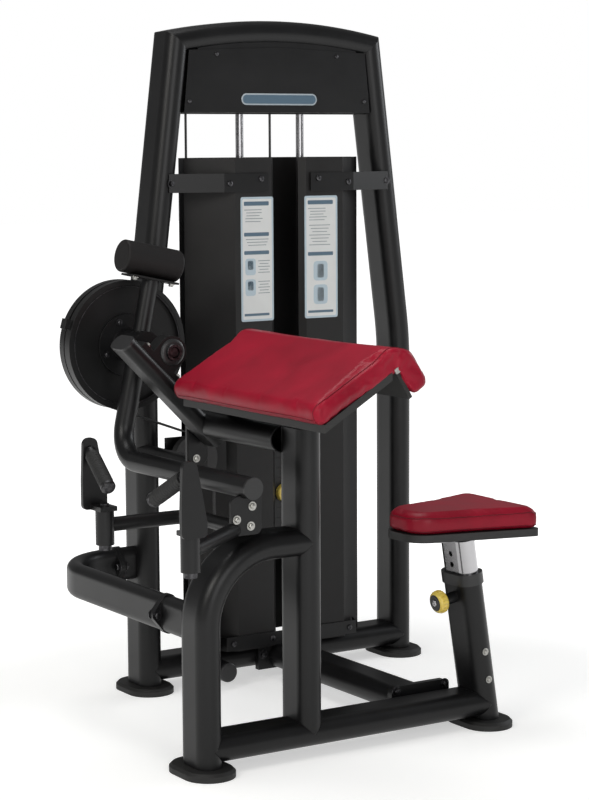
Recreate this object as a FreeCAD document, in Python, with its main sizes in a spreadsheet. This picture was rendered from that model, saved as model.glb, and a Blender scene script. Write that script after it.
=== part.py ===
# Biceps curl machine: a seated arm curl with its own weight stack.
# +Z is up and +Y points from the seat side to the tower. The person sits at +X and faces -X.
import FreeCAD, Part
import Sketcher
import math
import os

from FreeCAD import Placement, Rotation, Vector

document = FreeCAD.newDocument("BicepsCurlMachine")
sheet = document.addObject("Spreadsheet::Sheet", "Sizes")


class Size:
    """A value of the model together with the formula that works it out from the sheet."""

    def __init__(self, value, formula):
        self.value = value
        self.formula = formula

    def __add__(self, other):
        return Size(self.value + number(other), f"({self.formula} + {formula(other)})")

    def __sub__(self, other):
        return Size(self.value - number(other), f"({self.formula} - {formula(other)})")

    def __mul__(self, other):
        return Size(self.value * number(other), f"({self.formula} * {formula(other)})")

    def __truediv__(self, other):
        return Size(self.value / number(other), f"({self.formula} / {formula(other)})")

    def __neg__(self):
        return Size(-self.value, f"(0 - {self.formula})")

    def __radd__(self, other):
        return self + other

    def __rsub__(self, other):
        return -self + other

    def __rmul__(self, other):
        return self * other


def number(thing):
    """The plain value of a size or of a number."""
    return thing.value if isinstance(thing, Size) else thing


def formula(thing):
    """The text that the sheet reads for a size or a number."""
    return thing.formula if isinstance(thing, Size) else repr(thing)


def sine(angle):
    return Size(math.sin(math.radians(number(angle))), f"sin({formula(angle)})")


def cosine(angle):
    return Size(math.cos(math.radians(number(angle))), f"cos({formula(angle)})")


def tangent(angle):
    return Size(math.tan(math.radians(number(angle))), f"tan({formula(angle)})")


def root(value):
    return Size(math.sqrt(number(value)), f"sqrt({formula(value)})")


class SizeTable:
    """The driving sizes of the machine: each one is a row of the sheet and an attribute here."""

    def __init__(self):
        self.rows = 0

    def add(self, **values):
        for name, value in values.items():
            self.rows += 1
            sheet.set(f"A{self.rows}", name.replace("_", " "))
            sheet.set(f"B{self.rows}", str(value))
            sheet.setAlias(f"B{self.rows}", name)
            setattr(self, name, Size(value, f"Sizes.{name}"))
        sheet.recompute()


size = SizeTable()
sub_parts = []


def bind(thing, path, value):
    """Tie a property of a feature to the sheet."""
    if isinstance(value, Size):
        thing.setExpression(path, value.formula)


def new_body(label, kept=True):
    body = document.addObject("PartDesign::Body", label)
    body.Label = label
    if kept:
        sub_parts.append(body)
    return body


def part_named(label):
    return [part for part in sub_parts if part.Label == label][0]


def replace_part(old, new, label):
    new.Label = label
    sub_parts[sub_parts.index(old)] = new


def origin_feature(body, role):
    """One of the body's own planes or axes."""
    return [part for part in body.Origin.OriginFeatures if part.Role == role][0]


def new_sketch(body, plane, name, shift=0, lean=None):
    """A sketch on one of the body's own planes, moved along the plane's normal.

    lean is a centre on that plane and an angle about +Y, for a piece that leans.
    """
    sketch = body.newObject("Sketcher::SketchObject", body.Name + "_" + name)
    sketch.AttachmentSupport = [(origin_feature(body, plane), "")]
    sketch.MapMode = "FlatFace"
    if lean is None:
        sketch.AttachmentOffset = Placement(Vector(0, 0, number(shift)), Rotation())
        bind(sketch, "AttachmentOffset.Base.z", shift)
    else:
        x, y, angle = lean
        turn = Rotation(Vector(0, 1, 0), number(angle))
        sketch.AttachmentOffset = Placement(Vector(number(x), number(y), number(shift)), turn)
        bind(sketch, "AttachmentOffset.Base.x", x)
        bind(sketch, "AttachmentOffset.Base.y", y)
        bind(sketch, "AttachmentOffset.Base.z", shift)
        bind(sketch, "AttachmentOffset.Rotation.Angle", angle)
    return sketch


class Constraints:
    """Constraints gathered for one sketch, added in one go and then tied to the sheet."""

    def __init__(self, sketch):
        self.sketch = sketch
        self.first = sketch.ConstraintCount
        self.items = []
        self.tied = []

    def rule(self, *parts):
        self.items.append(Sketcher.Constraint(*parts))

    def value(self, kind, *parts):
        given = parts[-1]
        self.items.append(Sketcher.Constraint(kind, *parts[:-1], number(given)))
        if isinstance(given, Size):
            self.tied.append((self.first + len(self.items) - 1, given))

    def place(self, shape, spot, x, y):
        """Fix a point of a shape at x and y from the sketch's origin."""
        for kind, axis, given in (("DistanceX", -2, x), ("DistanceY", -1, y)):
            if number(given) == 0:
                self.rule("PointOnObject", shape, spot, axis)
            else:
                self.value(kind, -1, 1, shape, spot, given)

    def add(self):
        self.sketch.addConstraint(self.items)
        for index, given in self.tied:
            self.sketch.setExpression(f"Constraints[{index}]", given.formula)


def direction_angle(vector):
    return math.atan2(vector.y, vector.x)


def arc_between(centre, radius, first, last):
    """The arc that runs anticlockwise from one point to the other."""
    begin = direction_angle(first - centre)
    end = direction_angle(last - centre)
    if end < begin:
        end += 2 * math.pi
    return Part.ArcOfCircle(Part.Circle(centre, Vector(0, 0, 1), radius), begin, end)


def outline(sketch, corners, closed=True):
    """Straight runs through the corners. A corner with a third value is rounded by that radius."""
    places = [Vector(number(corner[0]), number(corner[1]), 0) for corner in corners]
    count = len(places)
    run_starts = list(places)
    run_ends = list(places)
    arcs = {}
    for index, corner in enumerate(corners):
        if len(corner) == 2:
            continue
        arrive = (places[index] - places[index - 1]).normalize()
        leave = (places[(index + 1) % count] - places[index]).normalize()
        radius = number(corner[2])
        back = radius * math.tan(arrive.getAngle(leave) / 2)
        left = arrive.cross(leave).z > 0
        run_starts[index] = places[index] + leave * back
        run_ends[index] = places[index] - arrive * back
        across = Vector(-arrive.y, arrive.x, 0) * (radius if left else -radius)
        ends = (run_ends[index], run_starts[index])
        first, last = ends if left else reversed(ends)
        arcs[index] = (arc_between(run_ends[index] + across, radius, first, last), left)
    base = sketch.GeometryCount
    runs = count if closed else count - 1
    lines = [Part.LineSegment(run_starts[i], run_ends[(i + 1) % count]) for i in range(runs)]
    sketch.addGeometry(lines, False)
    constraints = Constraints(sketch)
    for index, corner in enumerate(corners):
        leaving = base + index
        arriving = base + (index - 1) % count
        if index in arcs:
            arc, left = arcs[index]
            bend = sketch.addGeometry(arc, False)
            guide = sketch.addGeometry(Part.Point(places[index]), True)
            begin, end = (1, 2) if left else (2, 1)
            constraints.rule("Tangent", arriving, 2, bend, begin)
            constraints.rule("Tangent", bend, end, leaving, 1)
            constraints.value("Radius", bend, corner[2])
            constraints.rule("PointOnObject", guide, 1, arriving)
            constraints.rule("PointOnObject", guide, 1, leaving)
            constraints.place(guide, 1, corner[0], corner[1])
        elif not closed and index == 0:
            constraints.place(leaving, 1, corner[0], corner[1])
        elif not closed and index == count - 1:
            constraints.place(arriving, 2, corner[0], corner[1])
        else:
            constraints.rule("Coincident", arriving, 2, leaving, 1)
            constraints.place(leaving, 1, corner[0], corner[1])
    constraints.add()


def circle(sketch, x, y, radius):
    shape = Part.Circle(Vector(number(x), number(y), 0), Vector(0, 0, 1), number(radius))
    index = sketch.addGeometry(shape, False)
    constraints = Constraints(sketch)
    constraints.place(index, 3, x, y)
    constraints.value("Radius", index, radius)
    constraints.add()


def flat_oval(sketch, x, y, across, along, lying=False):
    """An oval of two straight sides and two half circles, its long way along local y or, lying, x."""
    radius = across / 2
    reach = along / 2 - radius
    turn = -math.pi / 2 if lying else 0
    long_way = Vector(-math.sin(turn), math.cos(turn), 0)
    side_way = Vector(math.cos(turn), math.sin(turn), 0)
    centre = Vector(number(x), number(y), 0)
    far = centre + long_way * number(reach)
    near = centre - long_way * number(reach)
    side = side_way * number(radius)
    base = sketch.GeometryCount
    sketch.addGeometry(
        [
            Part.LineSegment(near + side, far + side),
            arc_between(far, number(radius), far + side, far - side),
            Part.LineSegment(far - side, near - side),
            arc_between(near, number(radius), near - side, near + side),
        ],
        False,
    )
    constraints = Constraints(sketch)
    for index in range(4):
        constraints.rule("Tangent", base + index, 2, base + (index + 1) % 4, 1)
    constraints.rule("Horizontal" if lying else "Vertical", base)
    constraints.value("Radius", base + 1, radius)
    if lying:
        constraints.place(base + 1, 3, x + reach, y)
        constraints.value("DistanceX", base + 3, 3, base + 1, 3, reach * 2)
    else:
        constraints.place(base + 1, 3, x, y + reach)
        constraints.value("DistanceY", base + 3, 3, base + 1, 3, reach * 2)
    constraints.add()


def pad(body, sketch, length, both_ways=False, reverse=False):
    feature = body.newObject("PartDesign::Pad", sketch.Name + "_pad")
    feature.Profile = sketch
    feature.Length = number(length)
    bind(feature, "Length", length)
    feature.SideType = "Symmetric" if both_ways else "One side"
    feature.Reversed = reverse
    return feature


def cut(body, sketch, depth=None, reverse=False):
    """Cut the sketch's outline out of the body, to a depth or right through both ways."""
    document.recompute()
    before = body.Shape.Volume
    feature = body.newObject("PartDesign::Pocket", sketch.Name + "_cut")
    feature.Profile = sketch
    feature.Reversed = reverse
    if depth is None:
        feature.Type = "ThroughAll"
        feature.SideType = "Symmetric"
    else:
        feature.Length = number(depth)
        bind(feature, "Length", depth)
    document.recompute()
    if not body.Shape.Volume < before:
        raise ValueError(sketch.Name + " cuts nothing")
    return feature


def turned(body, corners, name="profile"):
    """Turn a profile of (radius, height) corners about the body's own Z axis."""
    sketch = new_sketch(body, "XZ_Plane", name)
    outline(sketch, corners)
    feature = body.newObject("PartDesign::Revolution", sketch.Name + "_turn")
    feature.Profile = sketch
    feature.ReferenceAxis = (sketch, ["V_Axis"])
    feature.Angle = 360
    return feature


TURNS = {
    "+X": Rotation(Vector(0, 1, 0), 90),
    "-X": Rotation(Vector(0, 1, 0), -90),
    "+Y": Rotation(Vector(1, 0, 0), -90),
    "-Y": Rotation(Vector(1, 0, 0), 90),
    "+Z": Rotation(),
    "-Z": Rotation(Vector(1, 0, 0), 180),
}


def stand(body, x, y, z, facing="+Z", angle=None):
    """Put a body in its place, its own Z axis facing the given way, or leaning about +Y."""
    turn = TURNS[facing] if angle is None else Rotation(Vector(0, 1, 0), number(angle))
    body.Placement = Placement(Vector(number(x), number(y), number(z)), turn)
    bind(body, "Placement.Base.x", x)
    bind(body, "Placement.Base.y", y)
    bind(body, "Placement.Base.z", z)


def soften(body, kind, names, amount):
    """A Fillet or a Chamfer on named edges of the body's last feature."""
    base = body.Tip
    feature = body.newObject("PartDesign::" + kind, body.Name + "_" + kind.lower())
    feature.Base = (base, names)
    path = "Radius" if kind == "Fillet" else "Size"
    setattr(feature, path, number(amount))
    bind(feature, path, amount)
    document.recompute()
    return feature


# Tubes of the frame

size.add(tube_thick=58, tube_deep=105, tube_wall=3, cut_spare=5)


def oval_section(body, plane, shift, x, y, lying=False, name="section", lean=None):
    """The hollow section of the frame tube on one of the body's planes."""
    sketch = new_sketch(body, plane, name, shift, lean)
    flat_oval(sketch, x, y, size.tube_thick, size.tube_deep, lying)
    inner_thick = size.tube_thick - size.tube_wall * 2
    flat_oval(sketch, x, y, inner_thick, size.tube_deep - size.tube_wall * 2, lying)
    return sketch


def sweep(body, section, path_plane, corners, shift=0):
    """Sweep a section along straight runs joined by tangent arcs."""
    path = new_sketch(body, path_plane, "path", shift)
    outline(path, corners, closed=False)
    feature = body.newObject("PartDesign::AdditivePipe", body.Name + "_sweep")
    feature.Profile = section
    feature.Spine = (path, [""])
    document.recompute()
    return feature


def cope(body, plane, x, y, lying=False, name="cope", lean=None, shift=0):
    """Shape a tube's end to the neighbour that it is welded to."""
    sketch = new_sketch(body, plane, name, shift, lean)
    flat_oval(sketch, x, y, size.tube_thick, size.tube_deep, lying)
    cut(body, sketch)


# Rubber feet: a flared sole and a low rim round the end of each tube
size.add(foot_thick=114, foot_deep=170, foot_high=18, foot_edge=6)
# Tower uprights: straight, then leaning inwards up to the mitre
size.add(upright_out=369, lean_start=821, lean_radius=900, corner_out=276, corner_high=1561, crown_rise=26)
# Base tube of the tower
size.add(base_axis=55)


def upright(label, side):
    body = new_body(label)
    out = size.upright_out * side
    section = oval_section(body, "XY_Plane", size.foot_high, out, 0)
    rise = size.corner_high - size.lean_start
    slope = (size.upright_out - size.corner_out) / rise
    top = size.corner_high + size.tube_deep
    top_out = (size.corner_out - slope * size.tube_deep) * side
    corners = [(out, size.foot_high), (out, size.lean_start, size.lean_radius), (top_out, top)]
    sweep(body, section, "XZ_Plane", corners)
    cut(body, mitre(body, side, -1))


def mitre(body, side, keep):
    """The half of the top corner that the other tube of the mitre takes."""
    lean = math.atan2(
        number(size.upright_out - size.corner_out), number(size.corner_high - size.lean_start)
    )
    chord_half = number(size.corner_out)
    rise = number(size.crown_rise)
    arch = 2 * math.atan2(rise, chord_half)
    travel = Vector(-math.sin(lean) * side, math.cos(lean), 0)
    travel = travel + Vector(-math.cos(arch) * side, math.sin(arch), 0)
    travel.normalize()
    along = Vector(-travel.y, travel.x, 0)
    reach = number(size.tube_deep)
    corner = Vector(chord_half * side, number(size.corner_high), 0)
    beyond = travel * (-keep * reach)
    spots = [corner + along * reach, corner - along * reach]
    spots += [spots[1] + beyond, spots[0] + beyond]
    sketch = new_sketch(body, "XZ_Plane", "mitre" + ("_right" if side > 0 else "_left"))
    outline(sketch, [(spot.x, spot.y) for spot in spots])
    return sketch


upright("left_upright", -1)
upright("right_upright", 1)


def top_arch():
    body = new_body("top_arch_tube")
    half = size.corner_out
    radius = (half * half + size.crown_rise * size.crown_rise) / (size.crown_rise * 2)
    centre = size.corner_high + size.crown_rise - radius
    ring = new_sketch(body, "YZ_Plane", "section")
    crown = size.corner_high + size.crown_rise
    flat_oval(ring, 0, crown, size.tube_thick, size.tube_deep, True)
    flat_oval(
        ring,
        0,
        crown,
        size.tube_thick - size.tube_wall * 2,
        size.tube_deep - size.tube_wall * 2,
        True,
    )
    feature = body.newObject("PartDesign::Revolution", "top_arch_tube_bend")
    axis = new_sketch(body, "YZ_Plane", "bend_axis")
    axis.addGeometry(Part.LineSegment(Vector(0, number(centre), 0), Vector(1, number(centre), 0)), False)
    rules = Constraints(axis)
    rules.place(0, 1, 0, centre)
    rules.rule("Horizontal", 0)
    rules.rule("DistanceX", 0, 1, 0, 2, 1)
    rules.add()
    feature.Profile = ring
    feature.ReferenceAxis = (axis, ["Edge1"])
    feature.Midplane = True
    feature.Angle = 2 * math.degrees(math.asin(number(half + size.tube_thick) / number(radius)))
    document.recompute()
    cut(body, mitre(body, -1, 1))
    cut(body, mitre(body, 1, 1))


top_arch()


def tower_base():
    body = new_body("tower_base_tube")
    section = oval_section(body, "YZ_Plane", 0, 0, size.base_axis, True)
    pad(body, section, size.upright_out * 2, both_ways=True)
    cope(body, "XY_Plane", -size.upright_out, 0, name="left_cope")
    cope(body, "XY_Plane", size.upright_out, 0, name="right_cope")


tower_base()

# Seat side frame: its mid plane, its posts and the base tube along the floor
size.add(front_plane=696, front_post_out=609, front_run_axis=474, front_bend=160, centre_post_out=359)
size.add(cross_axis=690, cross_near=660, cross_far=290, post_lid=5)
size.add(seat_foot_x=124.5, seat_lean=8.93, seat_post_top=335)

front = -size.front_plane


def front_post():
    body = new_body("front_post")
    out = -size.front_post_out
    section = oval_section(body, "XY_Plane", size.foot_high, out, front)
    corners = [
        (out, size.foot_high),
        (out, size.front_run_axis, size.front_bend),
        (-size.centre_post_out, size.front_run_axis),
    ]
    sweep(body, section, "XZ_Plane", corners, size.front_plane)
    cope(body, "XY_Plane", -size.centre_post_out, front)


def centre_post():
    body = new_body("centre_post")
    section = oval_section(body, "XY_Plane", size.base_axis, -size.centre_post_out, front)
    high = size.cross_axis + size.tube_thick / 2
    pad(body, section, high - size.base_axis)
    lid = new_sketch(body, "XY_Plane", "lid", high - size.post_lid)
    flat_oval(lid, -size.centre_post_out, front, size.tube_thick, size.tube_deep)
    pad(body, lid, size.post_lid)
    cope(body, "YZ_Plane", front, size.base_axis, True, "base_cope")


def cross_tube():
    body = new_body("pad_cross_tube")
    section = oval_section(
        body, "XZ_Plane", size.cross_far, -size.centre_post_out, size.cross_axis, True
    )
    pad(body, section, size.cross_near - size.cross_far)
    cope(body, "XY_Plane", -size.centre_post_out, front)


def front_base():
    body = new_body("front_base_tube")
    section = oval_section(body, "YZ_Plane", -size.front_post_out, front, size.base_axis, True)
    slope = tangent(size.seat_lean)
    post_x = size.seat_foot_x - slope * (size.base_axis - size.foot_high)
    pad(body, section, size.front_post_out + post_x)
    cope(body, "XY_Plane", -size.front_post_out, front, name="post_cope")
    lean = (post_x, front, -size.seat_lean)
    cope(body, "XY_Plane", 0, 0, name="seat_cope", lean=lean, shift=size.base_axis)


def seat_post():
    body = new_body("seat_post")
    slope = tangent(size.seat_lean)
    top_x = size.seat_foot_x - slope * (size.seat_post_top - size.foot_high)
    section = oval_section(body, "XY_Plane", size.foot_high, size.seat_foot_x, front)
    spare = size.tube_thick
    corners = [(size.seat_foot_x, size.foot_high), (top_x - slope * spare, size.seat_post_top + spare)]
    sweep(body, section, "XZ_Plane", corners, size.front_plane)
    square = new_sketch(body, "XZ_Plane", "square_end", size.front_plane)
    across = cosine(size.seat_lean) * size.tube_deep
    rise = sine(size.seat_lean) * size.tube_deep
    low = size.seat_post_top - rise
    high = size.seat_post_top + rise
    above = high + size.tube_deep
    left = top_x - across
    right = top_x + across
    outline(square, [(left, low), (right, high), (right, above), (left, above)])
    cut(body, square)


def feet():
    body = new_body("rubber_feet")
    sketch = new_sketch(body, "XY_Plane", "soles")
    flat_oval(sketch, -size.upright_out, 0, size.foot_thick, size.foot_deep)
    flat_oval(sketch, size.upright_out, 0, size.foot_thick, size.foot_deep)
    flat_oval(sketch, -size.front_post_out, front, size.foot_thick, size.foot_deep)
    flat_oval(sketch, size.seat_foot_x, front, size.foot_thick, size.foot_deep)
    soles = pad(body, sketch, size.foot_high)
    document.recompute()
    top = number(size.foot_high)
    rims = [
        f"Edge{i}"
        for i, edge in enumerate(soles.Shape.Edges, 1)
        if all(abs(vertex.Z - top) < 1e-6 for vertex in edge.Vertexes)
    ]
    soften(body, "Chamfer", rims, size.foot_edge)


front_post()
centre_post()
cross_tube()
front_base()
seat_post()
feet()


# Header: pulley beam between the uprights, its front and rear covers and the badge

size.add(beam_low=1392, beam_high=1536, beam_plate=4, beam_half_deep=23)


def upright_inner(height):
    """Where the upright's inner face stands at a height on its leaning stretch."""
    slope = (size.upright_out - size.corner_out) / (size.corner_high - size.lean_start)
    half = size.tube_thick / 2 * root(slope * slope + 1)
    return size.upright_out - slope * (height - size.lean_start) - half


size.add(cover_face=46, cover_sheet=3, cover_low=1395, cover_side_high=1542, cover_crown=1552)
size.add(cover_half_low=266, cover_half_high=251)


def plate(label, plane, corners, shift, thick, kept=True):
    """A flat piece: an outline on a plane, padded along the plane's normal."""
    body = new_body(label, kept)
    sketch = new_sketch(body, plane, "outline", shift)
    outline(sketch, corners)
    pad(body, sketch, thick)
    document.recompute()
    return body


def header_beam():
    body = new_body("header_beam")
    low = upright_inner(size.beam_low)
    high = upright_inner(size.beam_high)
    corners = [(-low, size.beam_low), (low, size.beam_low), (high, size.beam_high), (-high, size.beam_high)]
    sketch = new_sketch(body, "XZ_Plane", "outline")
    outline(sketch, corners)
    pad(body, sketch, size.beam_half_deep * 2, both_ways=True)
    inside = new_sketch(body, "YZ_Plane", "channel")
    half = size.beam_half_deep - size.beam_plate
    top = size.beam_high - size.beam_plate
    floor = size.beam_low - size.cut_spare
    outline(inside, [(-half, floor), (half, floor), (half, top), (-half, top)])
    cut(body, inside)


def header_cover(label, side):
    low = size.cover_half_low
    high = size.cover_half_high
    corners = [
        (-low, size.cover_low),
        (low, size.cover_low),
        (high, size.cover_side_high),
        (0, size.cover_crown),
        (-high, size.cover_side_high),
    ]
    near = size.cover_face if side < 0 else -size.cover_face + size.cover_sheet
    body = plate(label, "XZ_Plane", corners, near - size.cover_sheet, size.cover_sheet)
    lip = new_sketch(body, "XY_Plane", "lip", size.cover_low)
    back = size.beam_half_deep * side
    face = (size.cover_face - size.cover_sheet) * side
    outline(lip, [(-low, back), (low, back), (low, face), (-low, face)])
    pad(body, lip, size.cover_sheet)
    return body


header_beam()
header_cover("header_front_cover", -1)
header_cover("header_rear_cover", 1)

# Guide rods, their top bar, the risers and bumpers that the stack rests on
size.add(rod_out=87, rod_radius=9.5, rod_top=1406, rod_bar_half=115, rod_bar_thick=12)
size.add(riser_radius=22, bumper_radius=25, bumper_high=28, stack_low=297.5, rod_gap=0.3)

floor_top = size.base_axis + size.tube_thick / 2


def rod_pair(label, radius, bore, low, high):
    """Two like round pieces, one on each guide rod."""
    body = new_body(label)
    sketch = new_sketch(body, "XY_Plane", "rounds", low)
    for side in (-1, 1):
        circle(sketch, size.rod_out * side, 0, radius)
        if bore is not None:
            circle(sketch, size.rod_out * side, 0, bore)
    pad(body, sketch, high - low)
    return body


rod_bore = size.rod_radius + size.rod_gap
rod_pair("guide_rods", size.rod_radius, None, floor_top, size.rod_top)
bumper_low = size.stack_low - size.bumper_high
rod_pair("stack_risers", size.riser_radius, rod_bore, floor_top, bumper_low)
rod_pair("stack_bumpers", size.bumper_radius, rod_bore, bumper_low, size.stack_low)


def rod_top_bar():
    body = new_body("rod_top_bar")
    sketch = new_sketch(body, "XY_Plane", "outline", size.rod_top - size.rod_bar_thick)
    half = size.beam_half_deep - size.beam_plate
    long_half = size.rod_bar_half
    outline(sketch, [(-long_half, -half), (long_half, -half), (long_half, half), (-long_half, half)])
    for side in (-1, 1):
        circle(sketch, size.rod_out * side, 0, size.rod_radius)
    circle(sketch, 0, 0, size.rod_radius)
    pad(body, sketch, size.rod_bar_thick)


rod_top_bar()

# Weight plates: six lie below the pin and nine hang on the stem above it
size.add(plate_half_wide=125, plate_half_deep=48, plate_thick=24.6, plate_pitch=25, plate_corner=8)
size.add(stem_radius=10, stem_gap=1, plate_rod_gap=1, pin_radius=4, pin_gap=0.5, head_plate_thick=30)
plates_below = 6
plates_above = 9


def weight_plates(label, first, count):
    body = new_body(label)
    low = size.stack_low + size.plate_pitch * first
    sketch = new_sketch(body, "XY_Plane", "outline", low)
    wide = size.plate_half_wide
    deep = size.plate_half_deep
    round_by = size.plate_corner
    spots = ((-wide, -deep), (wide, -deep), (wide, deep), (-wide, deep))
    outline(sketch, [(x, y, round_by) for x, y in spots])
    for side in (-1, 1):
        circle(sketch, size.rod_out * side, 0, size.rod_radius + size.plate_rod_gap)
    circle(sketch, 0, 0, size.stem_radius + size.stem_gap)
    slab = pad(body, sketch, size.plate_thick)
    hole = new_sketch(body, "XZ_Plane", "pin_hole", size.plate_half_deep)
    circle(hole, 0, low + size.plate_thick / 2, size.pin_radius + size.pin_gap)
    drilled = cut(body, hole, size.plate_half_deep, reverse=False)
    rows = body.newObject("PartDesign::LinearPattern", label + "_rows")
    rows.Originals = [slab, drilled]
    rows.Direction = (origin_feature(body, "Z_Axis"), [""])
    rows.Mode = "Spacing"
    rows.Offset = number(size.plate_pitch)
    bind(rows, "Offset", size.plate_pitch)
    rows.Occurrences = count
    body.Tip = rows
    return body


weight_plates("resting_plates", 0, plates_below)
weight_plates("lifted_plates", plates_below, plates_above)

stack_top = size.stack_low + size.plate_pitch * (plates_below + plates_above)


def head_plate():
    body = new_body("head_plate")
    sketch = new_sketch(body, "XY_Plane", "outline", stack_top)
    wide = size.plate_half_wide
    deep = size.plate_half_deep
    spots = ((-wide, -deep), (wide, -deep), (wide, deep), (-wide, deep))
    outline(sketch, [(x, y, size.plate_corner) for x, y in spots])
    for side in (-1, 1):
        circle(sketch, size.rod_out * side, 0, size.rod_radius + size.rod_gap)
    circle(sketch, 0, 0, size.stem_radius)
    pad(body, sketch, size.head_plate_thick)


head_plate()

size.add(stem_head_high=40, cable_radius=3, cable_fitting_radius=9, cable_fitting_high=45)
stem_low = size.stack_low + size.plate_thick / 2 - size.pin_radius * 2
stem_top = stack_top + size.head_plate_thick + size.stem_head_high


def selector_stem():
    body = new_body("selector_stem")
    sketch = new_sketch(body, "XY_Plane", "round", stem_low)
    circle(sketch, 0, 0, size.stem_radius)
    rod = pad(body, sketch, stem_top - stem_low)
    hole = new_sketch(body, "XZ_Plane", "pin_hole")
    circle(hole, 0, size.stack_low + size.plate_thick / 2, size.pin_radius + size.pin_gap)
    drilled = cut(body, hole)
    rows = body.newObject("PartDesign::LinearPattern", "selector_stem_rows")
    rows.Originals = [drilled]
    rows.Direction = (origin_feature(body, "Z_Axis"), [""])
    rows.Mode = "Spacing"
    rows.Offset = number(size.plate_pitch)
    bind(rows, "Offset", size.plate_pitch)
    rows.Occurrences = plates_below + plates_above
    body.Tip = rows


selector_stem()

# Selector pin: a steel pin with a yellow knob, pushed in under the plate that is to be lifted
size.add(pin_knob_radius=22, pin_knob_long=18, pin_inner=10, pin_knob_gap=1, knob_round=4)
pin_axis = size.stack_low + size.plate_pitch * plates_below + size.plate_thick / 2


def selector_pin():
    body = new_body("selector_pin")
    face = size.plate_half_deep + size.pin_knob_gap
    shank = face + size.pin_inner
    turned(body, [(0, 0), (size.pin_radius, 0), (size.pin_radius, shank), (0, shank)])
    stand(body, 0, size.pin_inner, pin_axis, "-Y")
    knob = new_body("selector_pin_knob")
    far = size.pin_knob_long
    radius = size.pin_knob_radius
    turned(
        knob,
        [(0, 0), (radius, 0, size.knob_round), (radius, far, size.knob_round), (0, far)],
    )
    stand(knob, 0, -face, pin_axis, "-Y")


selector_pin()

# Pressed steel shrouds over the stack
size.add(shroud_sheet=2.5, shroud_low=84, shroud_high=1287)
size.add(slot_half=36, slot_lip=71, slot_fold=50, shroud_front=86, shroud_bend=155, shroud_bend_deep=90)
size.add(shroud_out=250, shroud_out_deep=10)


def folded_sheet(label, path, low, high, trims=()):
    """A folded sheet: its bent line, thickened outwards and raised to its height."""
    line = document.addObject("Sketcher::SketchObject", label + "_line")
    outline(line, path, closed=False)
    wall = document.addObject("Part::Offset2D", label + "_wall")
    wall.Source = line
    wall.Value = number(size.shroud_sheet)
    bind(wall, "Value", size.shroud_sheet)
    wall.Mode = "Skin"
    wall.Join = "Intersection"
    wall.Fill = True
    sheet_part = document.addObject("Part::Extrusion", label)
    sheet_part.Base = wall
    sheet_part.DirMode = "Custom"
    sheet_part.Dir = Vector(0, 0, 1)
    sheet_part.LengthFwd = number(high - low)
    bind(sheet_part, "LengthFwd", high - low)
    sheet_part.Solid = True
    sheet_part.Placement.Base = Vector(0, 0, number(low))
    bind(sheet_part, "Placement.Base.z", low)
    sheet_part.Label = label
    sub_parts.append(sheet_part)
    return sheet_part


def shroud(label, side, front_side=-1):
    path = [
        (size.slot_half * side, size.slot_lip * front_side),
        (size.slot_fold * side, size.shroud_front * front_side),
        (size.shroud_bend * side, size.shroud_bend_deep * front_side),
        (size.shroud_out * side, size.shroud_out_deep * front_side),
    ]
    return folded_sheet(label, path if side < 0 else path[::-1], size.shroud_low, size.shroud_high)


shroud("left_front_shroud", -1)
shroud("right_front_shroud", 1)
size.add(rear_shroud_half=150)
folded_sheet(
    "rear_shroud",
    [
        (-size.shroud_out, size.shroud_out_deep + size.cut_spare),
        (-size.rear_shroud_half, size.shroud_bend_deep),
        (size.rear_shroud_half, size.shroud_bend_deep),
        (size.shroud_out, size.shroud_out_deep + size.cut_spare),
    ],
    size.shroud_low,
    size.shroud_high,
)

# Flat bars that hold the shrouds: two up on the uprights and two down on the base tube
size.add(bar_face=92.7, bar_low=1205, bar_high=1250, bar_inner=60, bar_bend=185)
size.add(strip_low=88, strip_high=122, strip_inner=30, strip_bend=190, strip_end=205, seat_gap=0.1)


def shroud_bar(label, side, spots, low, high):
    path = [(x * side, -y) for x, y in spots]
    folded_sheet(label, path if side < 0 else path[::-1], low, high)


upright_axis = upright_inner(size.bar_high) + size.tube_thick / 2
bar_deep = size.tube_deep / 2 + size.shroud_sheet + size.seat_gap
bar_end = (upright_axis, bar_deep)
strip_end = (size.strip_end, bar_deep)
for name, side in (("left", -1), ("right", 1)):
    spots = [(size.bar_inner, size.bar_face), (size.bar_bend, size.bar_face), bar_end]
    shroud_bar(name + "_upper_bar", side, spots, size.bar_low, size.bar_high)
    spots = [(size.strip_inner, size.bar_face), (size.strip_bend, size.bar_face), strip_end]
    shroud_bar(name + "_lower_strip", side, spots, size.strip_low, size.strip_high)

# Pulleys and their axles: the cable runs from the cam wheel to the stack over four of them
size.add(cam_x=478, cam_z=859, cam_y=118, cam_groove=147, cam_rim=150.5, cam_half=25, cam_web=12)
size.add(side_pulley_x=291, side_pulley_z=576, side_groove=54, header_groove=50, header_axis=1475)
size.add(floor_axis=150, pulley_lip=5, pulley_half=10, groove_half=4, cable_gap=0.3)
size.add(axle_radius=6, axle_gap=0.05)
cable_x = -size.side_pulley_x + size.side_groove
floor_groove = size.cam_y / 2


def pulley(label, groove, x, y, z, facing):
    """A grooved wheel turned about its axle."""
    body = new_body(label)
    half = size.pulley_half
    rim = groove + size.pulley_lip
    bore = size.axle_radius + size.axle_gap
    seat = groove - size.cable_radius - size.cable_gap
    turned(
        body,
        [
            (bore, -half),
            (rim, -half),
            (seat, -size.groove_half),
            (seat, size.groove_half),
            (rim, half),
            (bore, half),
        ],
    )
    stand(body, x, y, z, facing)


pulley("side_pulley", size.side_groove, -size.side_pulley_x, -size.cam_y, size.side_pulley_z, "+Y")
pulley("floor_pulley", floor_groove, cable_x, -floor_groove, size.floor_axis, "+X")
header_left = cable_x + size.header_groove
pulley("left_header_pulley", size.header_groove, header_left, 0, size.header_axis, "+Y")
pulley("centre_header_pulley", size.header_groove, -size.header_groove, 0, size.header_axis, "+Y")


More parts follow.
